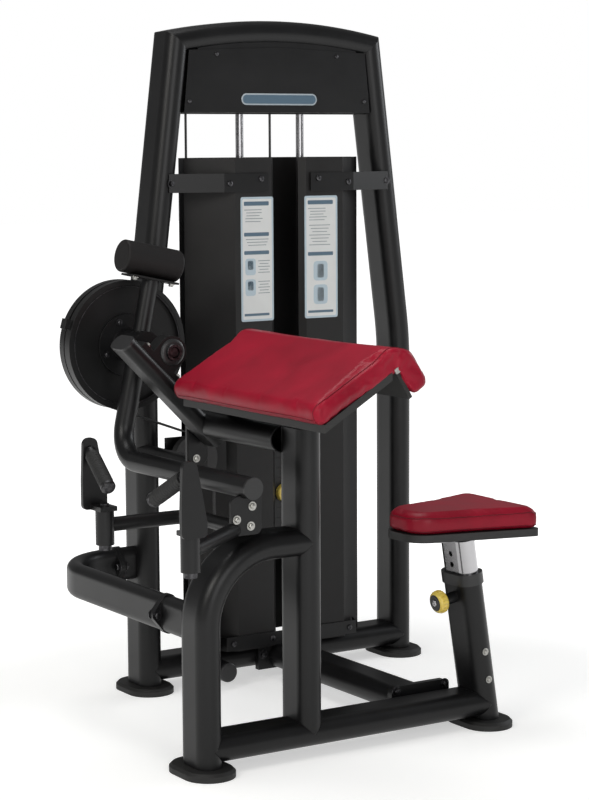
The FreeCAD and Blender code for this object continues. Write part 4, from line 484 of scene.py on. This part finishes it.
for side, word in ((-1, "left"), (1, "right")):
    face = shroud_face(side)
    sheets = {"border": bmesh.new(), "white": bmesh.new(), "slate": bmesh.new(), "grey": bmesh.new()}
    prism(sheets["border"], face, rounded(94, 300, 5), -0.1, 0.35, 0.1)
    prism(sheets["white"], face, rounded(84, 290, 3), 0.3, 0.5, 0.05)

    def strip(sheet, x, z, wide, tall):
        rest = face @ Matrix.Translation((x * MM, z * MM, 0))
        prism(sheets[sheet], rest, rounded(wide, tall, min(wide, tall) * 0.2, 2), 0.45, 0.62, 0.04)

    strip("slate", -2, 134, 72, 10)
    for row in range(5):
        strip("grey", -12 + row % 2 * 3, 119 - row * 7, 50 - row % 3 * 6, 1.6)
    strip("slate", -2, 60 if side < 0 else 8, 72, 9)
    if side < 0:
        for row in range(3):
            strip("grey", 0, 48 - row * 7, 66 - row * 7, 1.6)
        strip("slate", -2, 16, 72, 9)
        for row in range(2):
            strip("border", -20, -18 - row * 50, 30, 40)
            strip("slate", -20, -14 - row * 50, 16, 22)
            for line in range(5):
                strip("grey", 19, -4 - row * 50 - line * 7, 34 - line % 2 * 8, 1.6)
    else:
        for row in range(7):
            strip("grey", -4, 78 - row * 8, 60 - row % 3 * 9, 1.6)
        for row in range(2):
            strip("border", -2, -34 - row * 58, 40, 48)
            strip("grey", -2, -34 - row * 58, 18, 34)
    strip("slate", -2, -134, 72, 6)
    keep(sheets["border"], word + "_placard_border", border_vinyl, "frame", smooth=False)
    keep(sheets["white"], word + "_placard", white_vinyl, "frame", smooth=False)
    keep(sheets["slate"], word + "_placard_bars", slate_vinyl, "frame", smooth=False)
    keep(sheets["grey"], word + "_placard_lines", grey_vinyl, "frame", smooth=False)

# Weight stack: cast iron plates painted dark grey that slide on two chromed guide rods.
# Casting leaves a coarse skin under the paint, and the rods are ground and hard chromed.


def cast_paint(name, dark, light):
    material, tree, shader = start_material(name)
    place = add_node(tree, "TexCoord").outputs["Object"]
    skin = add_node(tree, "TexNoise", {"Vector": place, "Scale": 320.0, "Detail": 5.0, "Roughness": 0.7})
    cloud = add_node(tree, "TexNoise", {"Vector": place, "Scale": 14.0, "Detail": 4.0})
    tone = add_node(tree, "ValToRGB", {"Fac": cloud.outputs["Fac"]})
    tone.color_ramp.elements[0].position = 0.35
    tone.color_ramp.elements[0].color = from_hex(dark)
    tone.color_ramp.elements[1].position = 0.7
    tone.color_ramp.elements[1].color = from_hex(light)
    soft_edge = add_node(tree, "Bevel", {"Radius": 0.0015}, samples=4)
    relief = add_node(
        tree,
        "Bump",
        {"Strength": 0.35, "Distance": 0.0006, "Height": skin.outputs["Fac"], "Normal": soft_edge.outputs[0]},
    )
    tree.links.new(tone.outputs["Color"], shader.inputs["Base Color"])
    tree.links.new(relief.outputs[0], shader.inputs["Normal"])
    shader.inputs["Roughness"].default_value = 0.55
    return material


iron_paint = cast_paint("painted_cast_iron", "#1d1d1e", "#2a2a2b")
finish_with(iron_paint, "resting_plates", "lifted_plates", "stack_risers")


def hard_chrome(name, pale, rough, lay_mm):
    """Ground and hard-chromed steel: a mirror with faint rings from the grinding."""
    material, tree, shader = start_material(name)
    place = add_node(tree, "TexCoord").outputs["Object"]
    stretch = add_node(tree, "Mapping", {"Vector": place, "Scale": (0.05, 0.05, 1.0)})
    rings = add_node(tree, "TexNoise", {"Vector": stretch.outputs[0], "Scale": 1000 / lay_mm, "Detail": 3.0})
    gloss = add_node(
        tree, "MapRange", {"Value": rings.outputs["Fac"], "To Min": rough * 0.6, "To Max": rough * 1.8}
    )
    tone = add_node(tree, "HueSaturation", {"Color": from_hex(pale)})
    light = add_node(tree, "MapRange", {"Value": rings.outputs["Fac"], "To Min": 0.94, "To Max": 1.03})
    tree.links.new(light.outputs[0], tone.inputs["Value"])
    tree.links.new(tone.outputs[0], shader.inputs["Base Color"])
    tree.links.new(gloss.outputs[0], shader.inputs["Roughness"])
    shader.inputs["Metallic"].default_value = 1.0
    return material


rod_chrome = hard_chrome("hard_chromed_steel", "#a9a8aa", 0.16, 3.0)
finish_with(rod_chrome, "guide_rods", "selector_stem", "selector_pin", "seat_tube", "seat_pin")

# Cable: steel wire rope in black nylon, extruded over the strands so that it is smooth and glossy.


def extruded_nylon(name, colour):
    material, tree, shader = start_material(name)
    place = add_node(tree, "TexCoord").outputs["Object"]
    scuff = add_node(tree, "TexNoise", {"Vector": place, "Scale": 90.0, "Detail": 4.0})
    gloss = add_node(tree, "MapRange", {"Value": scuff.outputs["Fac"], "To Min": 0.2, "To Max": 0.45})
    tone = add_node(tree, "HueSaturation", {"Color": from_hex(colour)})
    light = add_node(tree, "MapRange", {"Value": scuff.outputs["Fac"], "To Min": 0.8, "To Max": 1.25})
    tree.links.new(light.outputs[0], tone.inputs["Value"])
    tree.links.new(tone.outputs[0], shader.inputs["Base Color"])
    tree.links.new(gloss.outputs[0], shader.inputs["Roughness"])
    return material


finish_with(extruded_nylon("extruded_black_nylon", "#121213"), "cable", "stack_cable")

# Axles, shaft and swivel pins: turned steel. The pulley axles are bright zinc plated, and the shaft
# and the pins are blackened in a hot oxide bath, which leaves them dark with a dull shine.

finish_with(zinc, "pulley_axles")
finish_with(black_oxide, "pivot_shaft", "far_handle_pin", "near_handle_pin")

# Yellow knobs: injection-moulded ABS, glossy, pressed on the pins. The seat knob has ribs round its
# rim for the grip, and a black disc with a bright bush in its face.


def gloss_moulded(name, colour, deep):
    material, tree, shader = start_material(name)
    place = add_node(tree, "TexCoord").outputs["Object"]
    flow = add_node(tree, "TexNoise", {"Vector": place, "Scale": 70.0, "Detail": 2.0})
    tone = add_node(tree, "ValToRGB", {"Fac": flow.outputs["Fac"]})
    tone.color_ramp.elements[0].position = 0.3
    tone.color_ramp.elements[0].color = from_hex(deep)
    tone.color_ramp.elements[1].position = 0.7
    tone.color_ramp.elements[1].color = from_hex(colour)
    soft_edge = add_node(tree, "Bevel", {"Radius": 0.0015}, samples=4)
    relief = add_node(
        tree,
        "Bump",
        {"Strength": 0.05, "Distance": 0.0004, "Height": flow.outputs["Fac"], "Normal": soft_edge.outputs[0]},
    )
    tree.links.new(tone.outputs["Color"], shader.inputs["Base Color"])
    tree.links.new(relief.outputs[0], shader.inputs["Normal"])
    shader.inputs["Roughness"].default_value = 0.22
    shader.inputs["Coat Weight"].default_value = 0.3
    shader.inputs["IOR"].default_value = 1.54
    return material


yellow_abs = gloss_moulded("yellow_moulded_abs", "#f6dc6c", "#edcb50")
finish_with(yellow_abs, "selector_pin_knob", "seat_pin_knob")

seat_plane = -696
lean = math.radians(8.93)
pin_way = Vector((-math.cos(lean), 0, -math.sin(lean)))
along = 291.7
knob_root = at(124.5 - math.sin(lean) * along, seat_plane, 18 + math.cos(lean) * along)
knob_face = facing(knob_root + pin_way * 83 * MM, pin_way)
disc = bmesh.new()
disc_steps = ((0, -0.2), (18.5, -0.2), (18.5, 0.8), (17.2, 1.8), (9.5, 1.8), (9, 0.9), (0, 0.9))
lathe(disc, knob_face, disc_steps, 40)
keep(disc, "seat_knob_disc", black_nylon, "seat_pull_pin")
bush = bmesh.new()
lathe(bush, knob_face, ((7.8, 0.8), (7.8, 2.4), (7, 3.2), (4, 3.4), (3.4, 2.2), (0, 2.2)), 32)
keep(bush, "seat_knob_bush", rod_chrome, "seat_pull_pin")
ribs = bmesh.new()
for step in range(20):
    turn = Matrix.Rotation(2 * math.pi * step / 20, 4, "Z")
    rib = facing(knob_root + pin_way * 65 * MM, pin_way) @ turn @ Matrix.Translation((0.0249, 0, 0))
    lathe(ribs, rib, ((0, -2), (1.4, -1.2), (1.6, 5), (1.4, 11.2), (0, 12)), 8)
keep(ribs, "seat_knob_ribs", yellow_abs, "seat_pull_pin")

# Cam wheel: a spun steel disc with a grooved rim, its web set in, coated like the frame.
# A machined line runs round the rim, and the hub flange is held on by four bolts.

cam_coat = baked_coat("cam_black_powder_coat", "#111111", "#161617", 0.4, 2.2)
finish_with(cam_coat, "cam_wheel", "near_bearing_block")
finish_with(baked_coat("rough_black_powder_coat", "#100e0e", "#151212", 0.6, 1.2), "counterweight")
shaft_x, shaft_z = -478, 859
rim_line = bmesh.new()
line_steps = ((137, -0.2), (137, 0.3), (136.2, 0.5), (135.4, 0.3), (135.4, -0.2))
lathe(rim_line, facing(at(shaft_x, -143, shaft_z), (0, -1, 0)), line_steps, 128)
keep(rim_line, "cam_rim_line", black_oxide, "arm")
bolts = bmesh.new()
for angle in (20, 110, 200, 290):
    turn = math.radians(angle)
    spot = at(shaft_x + 57 * math.cos(turn), -140, shaft_z + 57 * math.sin(turn))
    hex_bolt(bolts, facing(spot, (0, -1, 0)), 9, 4)
keep(bolts, "cam_hub_bolts", black_oxide, "arm")
ring = bmesh.new()
shaft_end = facing(at(shaft_x, -353, shaft_z), (0, -1, 0))
ring_steps = ((12.7, -0.2), (30, -0.2), (30, 2), (27, 4.5), (22, 5.5), (16, 5.5), (14, 4), (12.7, 4))
lathe(ring, shaft_end, ring_steps, 56)
keep(ring, "near_bearing_ring", black_nylon, "frame")
collar = bmesh.new()
collar_steps = ((12.55, 0), (19, 0), (19, 5), (18, 6.5), (12.55, 6.5))
lathe(collar, facing(at(shaft_x, -358.6, shaft_z), (0, -1, 0)), collar_steps, 48)
keep(collar, "shaft_collar", black_oxide, "arm")
bolts = bmesh.new()
across = Vector((1, 0, -1)).normalized()
base = at(shaft_x, -333, shaft_z) + Vector((-1, 0, -1)).normalized() * 28.9 * MM
for reach in (-52, 52):
    for y in (-10, 10):
        spot = base + across * reach * MM + Vector((0, y * MM, 0))
        hex_bolt(bolts, facing(spot, (1, 0, 1)), 10, 5)
keep(bolts, "bearing_bolts", zinc, "frame")

# Arm joints: the end plate, the carrier and the flanges of the frame are drawn up with hex bolts.

bolts = bmesh.new()
for x, z in ((-503, 566), (-541, 540), (-507, 524)):
    hex_bolt(bolts, facing(at(x, -732.5, z), (0, -1, 0)), 10.5, 5)
keep(bolts, "end_plate_bolts", zinc, "arm")
bolts = bmesh.new()
lean_weight = math.radians(12)
for reach in (-48, 48):
    spot = at(shaft_x, -195, shaft_z) + Vector((math.sin(lean_weight), 0, math.cos(lean_weight))) * 155.3 * MM
    spot += Vector((math.cos(lean_weight), 0, -math.sin(lean_weight))) * reach * MM
    spot.y -= 0.015
    hex_bolt(bolts, facing(spot, (-math.sin(lean_weight), 0, -math.cos(lean_weight))), 10, 5)
keep(bolts, "counterweight_bolts", zinc, "arm")
bolts = bmesh.new()
for x in (-639, -579):
    hex_bolt(bolts, facing(at(x, -561, 318), (0, -1, 0)), 13, 6)
    hex_bolt(bolts, facing(at(x, -545, 318), (0, 1, 0)), 13, 6)
for y in (-30, 30):
    hex_bolt(bolts, facing(at(-450, y, 318), (-1, 0, 0)), 13, 6)
    hex_bolt(bolts, facing(at(-434, y, 318), (1, 0, 0)), 13, 6)
for x in (-72, 62):
    for y, way in ((-60.5 - 8, -1), (-52.5, 1), (-643.5, -1), (-627.5, 1)):
        hex_bolt(bolts, facing(at(x, y, 90 if y < -600 and way < 0 else 62), (0, way, 0)), 13, 6)
keep(bolts, "frame_bolts", black_oxide, "frame")
bolts = bmesh.new()
for along_post, across_post in ((163, 0), (97, 0)):
    spot = at(124.5 - math.sin(lean) * along_post, -748.5, 18 + math.cos(lean) * along_post)
    hex_bolt(bolts, facing(spot, (0, -1, 0)), 9, 3.5, 1)
keep(bolts, "seat_post_screws", zinc, "frame")

# Bridge end plate: a round-ended steel plate with one bolt, in front of the side pulley's strap.

plate_face = facing(at(-380, -290.1, 640), (0, -1, 0))
end_plate = bmesh.new()
prism(end_plate, plate_face @ Matrix.Rotation(math.pi / 2, 4, "Z"), oval(54, 26), 0, 3, 0.5)
keep(end_plate, "bridge_end_plate", tube_coat, "frame")
bolts = bmesh.new()
hex_bolt(bolts, facing(at(-385, -293, 605), (0, -1, 0)), 10, 4)
keep(bolts, "bridge_bolt", zinc, "frame")

# Grips: closed-cell rubber sleeves on steel tube, with a turned cap at the free end that is
# blackened like the pins.

grip_rubber = moulded_rubber("black_foam_rubber", "#141414", "#1f1f1f", 0.7)
finish_with(grip_rubber, "far_grip", "near_grip")
for side, word in ((1, "far"), (-1, "near")):
    outer = at(-755, seat_plane + 208 * side, 674)
    inner = at(-771, seat_plane + 95 * side, 610)
    way = (inner - outer).normalized()
    cap = bmesh.new()
    lathe(cap, facing(inner, way), ((0, -0.1), (14, -0.1), (13.4, 1.2), (9, 2.0), (8.4, 1.2), (0, 1.2)), 40)
    lathe(cap, facing(inner - way * 8 * MM, way), ((15.6, 0), (16.1, 0.6), (16.1, 4.4), (15.6, 5)), 40)
    keep(cap, word + "_grip_end", black_oxide, word + "_handle")
    ridges = bmesh.new()
    long = (inner - outer).length / MM
    for step in range(12):
        rest = facing(outer + way * (24 + step * (long - 40) / 12) * MM, way)
        lathe(ridges, rest, ((15.4, 0), (16.2, 0.8), (16.2, 2.4), (15.4, 3.2)), 36)
    keep(ridges, word + "_grip_ridges", grip_rubber, word + "_handle")

# Boards under the pads: plywood sealed with black paint, screwed to the brackets.


def painted_ply(name, dark, light):
    material, tree, shader = start_material(name)
    place = add_node(tree, "TexCoord").outputs["Object"]
    stretch = add_node(tree, "Mapping", {"Vector": place, "Scale": (1.0, 12.0, 12.0)})
    grain = add_node(tree, "TexNoise", {"Vector": stretch.outputs[0], "Scale": 30.0, "Detail": 5.0})
    tone = add_node(tree, "ValToRGB", {"Fac": grain.outputs["Fac"]})
    tone.color_ramp.elements[0].position = 0.35
    tone.color_ramp.elements[0].color = from_hex(dark)
    tone.color_ramp.elements[1].position = 0.7
    tone.color_ramp.elements[1].color = from_hex(light)
    relief = add_node(tree, "Bump", {"Strength": 0.3, "Distance": 0.0004, "Height": grain.outputs["Fac"]})
    tree.links.new(tone.outputs["Color"], shader.inputs["Base Color"])
    tree.links.new(relief.outputs[0], shader.inputs["Normal"])
    shader.inputs["Roughness"].default_value = 0.55
    return material


finish_with(painted_ply("black_painted_plywood", "#161616", "#222120"), "arm_pad_board", "seat_board")

# Pads: moulded polyurethane foam in crimson coated leathercloth, stapled under the board.
# The cover is cut in panels, sewn with one seam round each edge, and is taut over the foam.


def leathercloth(name, colour, deep):
    """Coated cloth: a pebble grain of 1.5 mm, drawn at 3 mm so that it shows, and long soft creases whose
    hollows are painted darker as shade.
    """
    material, tree, shader = start_material(name)
    place = add_node(tree, "TexCoord").outputs["Object"]
    pebble = add_node(tree, "TexVoronoi", {"Vector": place, "Scale": 330.0}, feature="SMOOTH_F1")
    crease_and_painted_shade = add_node(tree, "TexNoise", {"Vector": place, "Scale": 7.0, "Detail": 3.0, "Distortion": 0.6})
    # The colour follows the crease noise, so the crease hollows are painted darker as shade.
    tone = add_node(tree, "ValToRGB", {"Fac": crease_and_painted_shade.outputs["Fac"]})
    tone.color_ramp.elements[0].position = 0.3
    tone.color_ramp.elements[0].color = from_hex(deep)
    tone.color_ramp.elements[1].position = 0.72
    tone.color_ramp.elements[1].color = from_hex(colour)
    soft = add_node(tree, "Bump", {"Strength": 0.25, "Distance": 0.004, "Height": crease_and_painted_shade.outputs["Fac"]})
    relief = add_node(
        tree,
        "Bump",
        {"Strength": 0.12, "Distance": 0.0005, "Height": pebble.outputs["Distance"], "Normal": soft.outputs[0]},
    )
    gloss = add_node(tree, "MapRange", {"Value": crease_and_painted_shade.outputs["Fac"], "To Min": 0.36, "To Max": 0.5})
    tree.links.new(tone.outputs["Color"], shader.inputs["Base Color"])
    tree.links.new(relief.outputs[0], shader.inputs["Normal"])
    tree.links.new(gloss.outputs[0], shader.inputs["Roughness"])
    shader.inputs["Specular IOR Level"].default_value = 0.28
    return material


crimson = leathercloth("crimson_leathercloth", "#a3082a", "#870621")
seam_thread = leathercloth("crimson_seam", "#7c061e", "#620416")


def foam_pad(name, node, shrink, swell_mm, pressure):
    """Foam under taut cloth: the pad's solid, remeshed, swollen under pressure and capped."""
    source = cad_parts[node]
    mesh = source.data.copy()
    mesh.materials.clear()
    pad = bpy.data.objects.new(name, mesh)
    scene.collection.objects.link(pad)
    low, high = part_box(node)
    middle = (low + high) / 2
    size = high - low
    for vertex in mesh.vertices:
        for axis in range(3):
            share = 1 - 2 * shrink * MM / size[axis]
            vertex.co[axis] = middle[axis] + (vertex.co[axis] - middle[axis]) * share
    bpy.context.view_layer.objects.active = pad
    remesh = pad.modifiers.new("remesh", "REMESH")
    remesh.mode = "VOXEL"
    remesh.voxel_size = 0.005
    smooth = pad.modifiers.new("smooth", "SMOOTH")
    smooth.factor = 0.5
    smooth.iterations = 3
    graph = bpy.context.evaluated_depsgraph_get()
    formed = bpy.data.meshes.new_from_object(pad.evaluated_get(graph))
    pad.modifiers.clear()
    pad.data = formed
    start = [vertex.co.copy() for vertex in formed.vertices]
    cloth = pad.modifiers.new("cloth", "CLOTH")
    cloth.settings.use_pressure = True
    cloth.settings.uniform_pressure_force = pressure
    cloth.settings.effector_weights.gravity = 0
    cloth.settings.tension_stiffness = 12
    cloth.settings.compression_stiffness = 8
    cloth.settings.bending_stiffness = 0.6
    cloth.settings.quality = 5
    cloth.point_cache.frame_start = 1
    cloth.point_cache.frame_end = 20
    for step in range(1, 21):
        scene.frame_set(step)
    graph = bpy.context.evaluated_depsgraph_get()
    swollen = bpy.data.meshes.new_from_object(pad.evaluated_get(graph))
    pad.modifiers.clear()
    pad.data = swollen
    scene.frame_set(1)
    limit = swell_mm * MM
    for vertex, rest in zip(swollen.vertices, start):
        move = vertex.co - rest
        if move.length > limit:
            vertex.co = rest + move.normalized() * limit
        for axis in range(3):
            vertex.co[axis] = min(max(vertex.co[axis], low[axis]), high[axis])
    finer = pad.modifiers.new("finer", "SUBSURF")
    finer.levels = 1
    finer.render_levels = 1
    graph = bpy.context.evaluated_depsgraph_get()
    final = bpy.data.meshes.new_from_object(pad.evaluated_get(graph))
    pad.modifiers.clear()
    pad.data = final
    final.materials.append(crimson)
    final.shade_smooth()
    return pad


def seam(name, pad, spots, body, radius=1.1, closed=True):
    """A sewn seam that lies on the cover: a fine welt along the nearest line of the pad."""
    tree = BVHTree.FromObject(pad, bpy.context.evaluated_depsgraph_get())
    curve = bpy.data.curves.new(name, "CURVE")
    curve.dimensions = "3D"
    curve.bevel_depth = radius * MM
    curve.bevel_resolution = 3
    spline = curve.splines.new("POLY")
    line = []
    for spot in spots:
        found = tree.find_nearest(spot)
        line.append(found[0] + found[1] * radius * 0.2 * MM)
    spline.points.add(len(line) - 1)
    for point, spot in zip(spline.points, line):
        point.co = (*spot, 1)
    spline.use_cyclic_u = closed
    piece = bpy.data.objects.new(name, curve)
    scene.collection.objects.link(piece)
    curve.materials.append(seam_thread)
    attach(piece, body)
    return piece


def along_line(corners, step=0.006, closed=True):
    """Points every few millimetres along straight runs."""
    spots = []
    pairs = list(zip(corners, corners[1:] + corners[:1]))
    for first, last in pairs if closed else pairs[:-1]:
        count = max(1, int((last - first).length / step))
        spots += [first.lerp(last, k / count) for k in range(count)]
    return spots


arm_pad = foam_pad("arm_pad_cover", "arm_pad", 1.0, 7, 3.5)
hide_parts("arm_pad")
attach(arm_pad, "frame")
pad_profile = (
    (-520, 786), (-317, 911), (-270, 898), (-235, 839), (-235, 821), (-265, 805), (-302, 868), (-500, 752),
)
for side, word in ((-1, "near"), (1, "far")):
    side_y = seat_plane + 281 * side
    loop = [at(x * 0.985 - 375 * 0.015, side_y, (z - 842) * 0.985 + 842) for x, z in pad_profile]
    line = seam(word + "_pad_seam", arm_pad, along_line(loop), "frame")
edge_line = [at(-508, seat_plane - 276, 768), at(-508, seat_plane + 276, 768)]
line = seam("pad_low_seam", arm_pad, along_line(edge_line, closed=False), "frame", closed=False)

# Flap board: painted board under the folded flap, with a plated clip at the near end of the fold.

flap_board = bmesh.new()
flap_line = ((-305, 866), (-269, 804), (-276, 800), (-314, 862))
for y, ends in ((seat_plane - 285, 0), (seat_plane + 285, 1)):
    ring = [flap_board.verts.new(at(x, y, z)) for x, z in flap_line]
    flap_board.faces.new(ring if ends else ring[::-1])
    if ends:
        for side in range(4):
            after = (side + 1) % 4
            flap_board.faces.new([start_ring[side], start_ring[after], ring[after], ring[side]])
    start_ring = ring
keep(flap_board, "flap_board", foot_rubber, "frame", smooth=False)
clip = bmesh.new()
clip_rest = facing(at(-303, -984, 864), (0, -1, 0)) @ Matrix.Rotation(math.radians(30), 4, "Z")
prism(clip, clip_rest, rounded(26, 12, 2, 2), -2, 2.5, 0.6)
keep(clip, "flap_clip", zinc, "frame")

# Seat pad: the same foam and cover, with a seam round the top edge and one round the bottom.

seat_pad = foam_pad("seat_pad_cover", "seat_pad", 1.0, 6, 3.5)
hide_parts("seat_pad")
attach(seat_pad, "seat")
seat_low, seat_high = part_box("seat_pad")
near_half = [(-108, -30), (-94, -54), (-62, -74), (188, -137), (194, -130)]
outline = [(-108, 30), *near_half, (194, 130), (188, 137), (-62, 74), (-94, 54)]
for level, inset, word in ((0.8, 5, "upper"), (0.1, 0, "lower")):
    height = seat_low.z + (seat_high.z - seat_low.z) * level
    loop = []
    for x, y in outline:
        spot = at(x, seat_plane + y, 0)
        spot.z = height
        loop.append(spot)
    line = seam("seat_seam_" + word, seat_pad, along_line(loop), "seat")
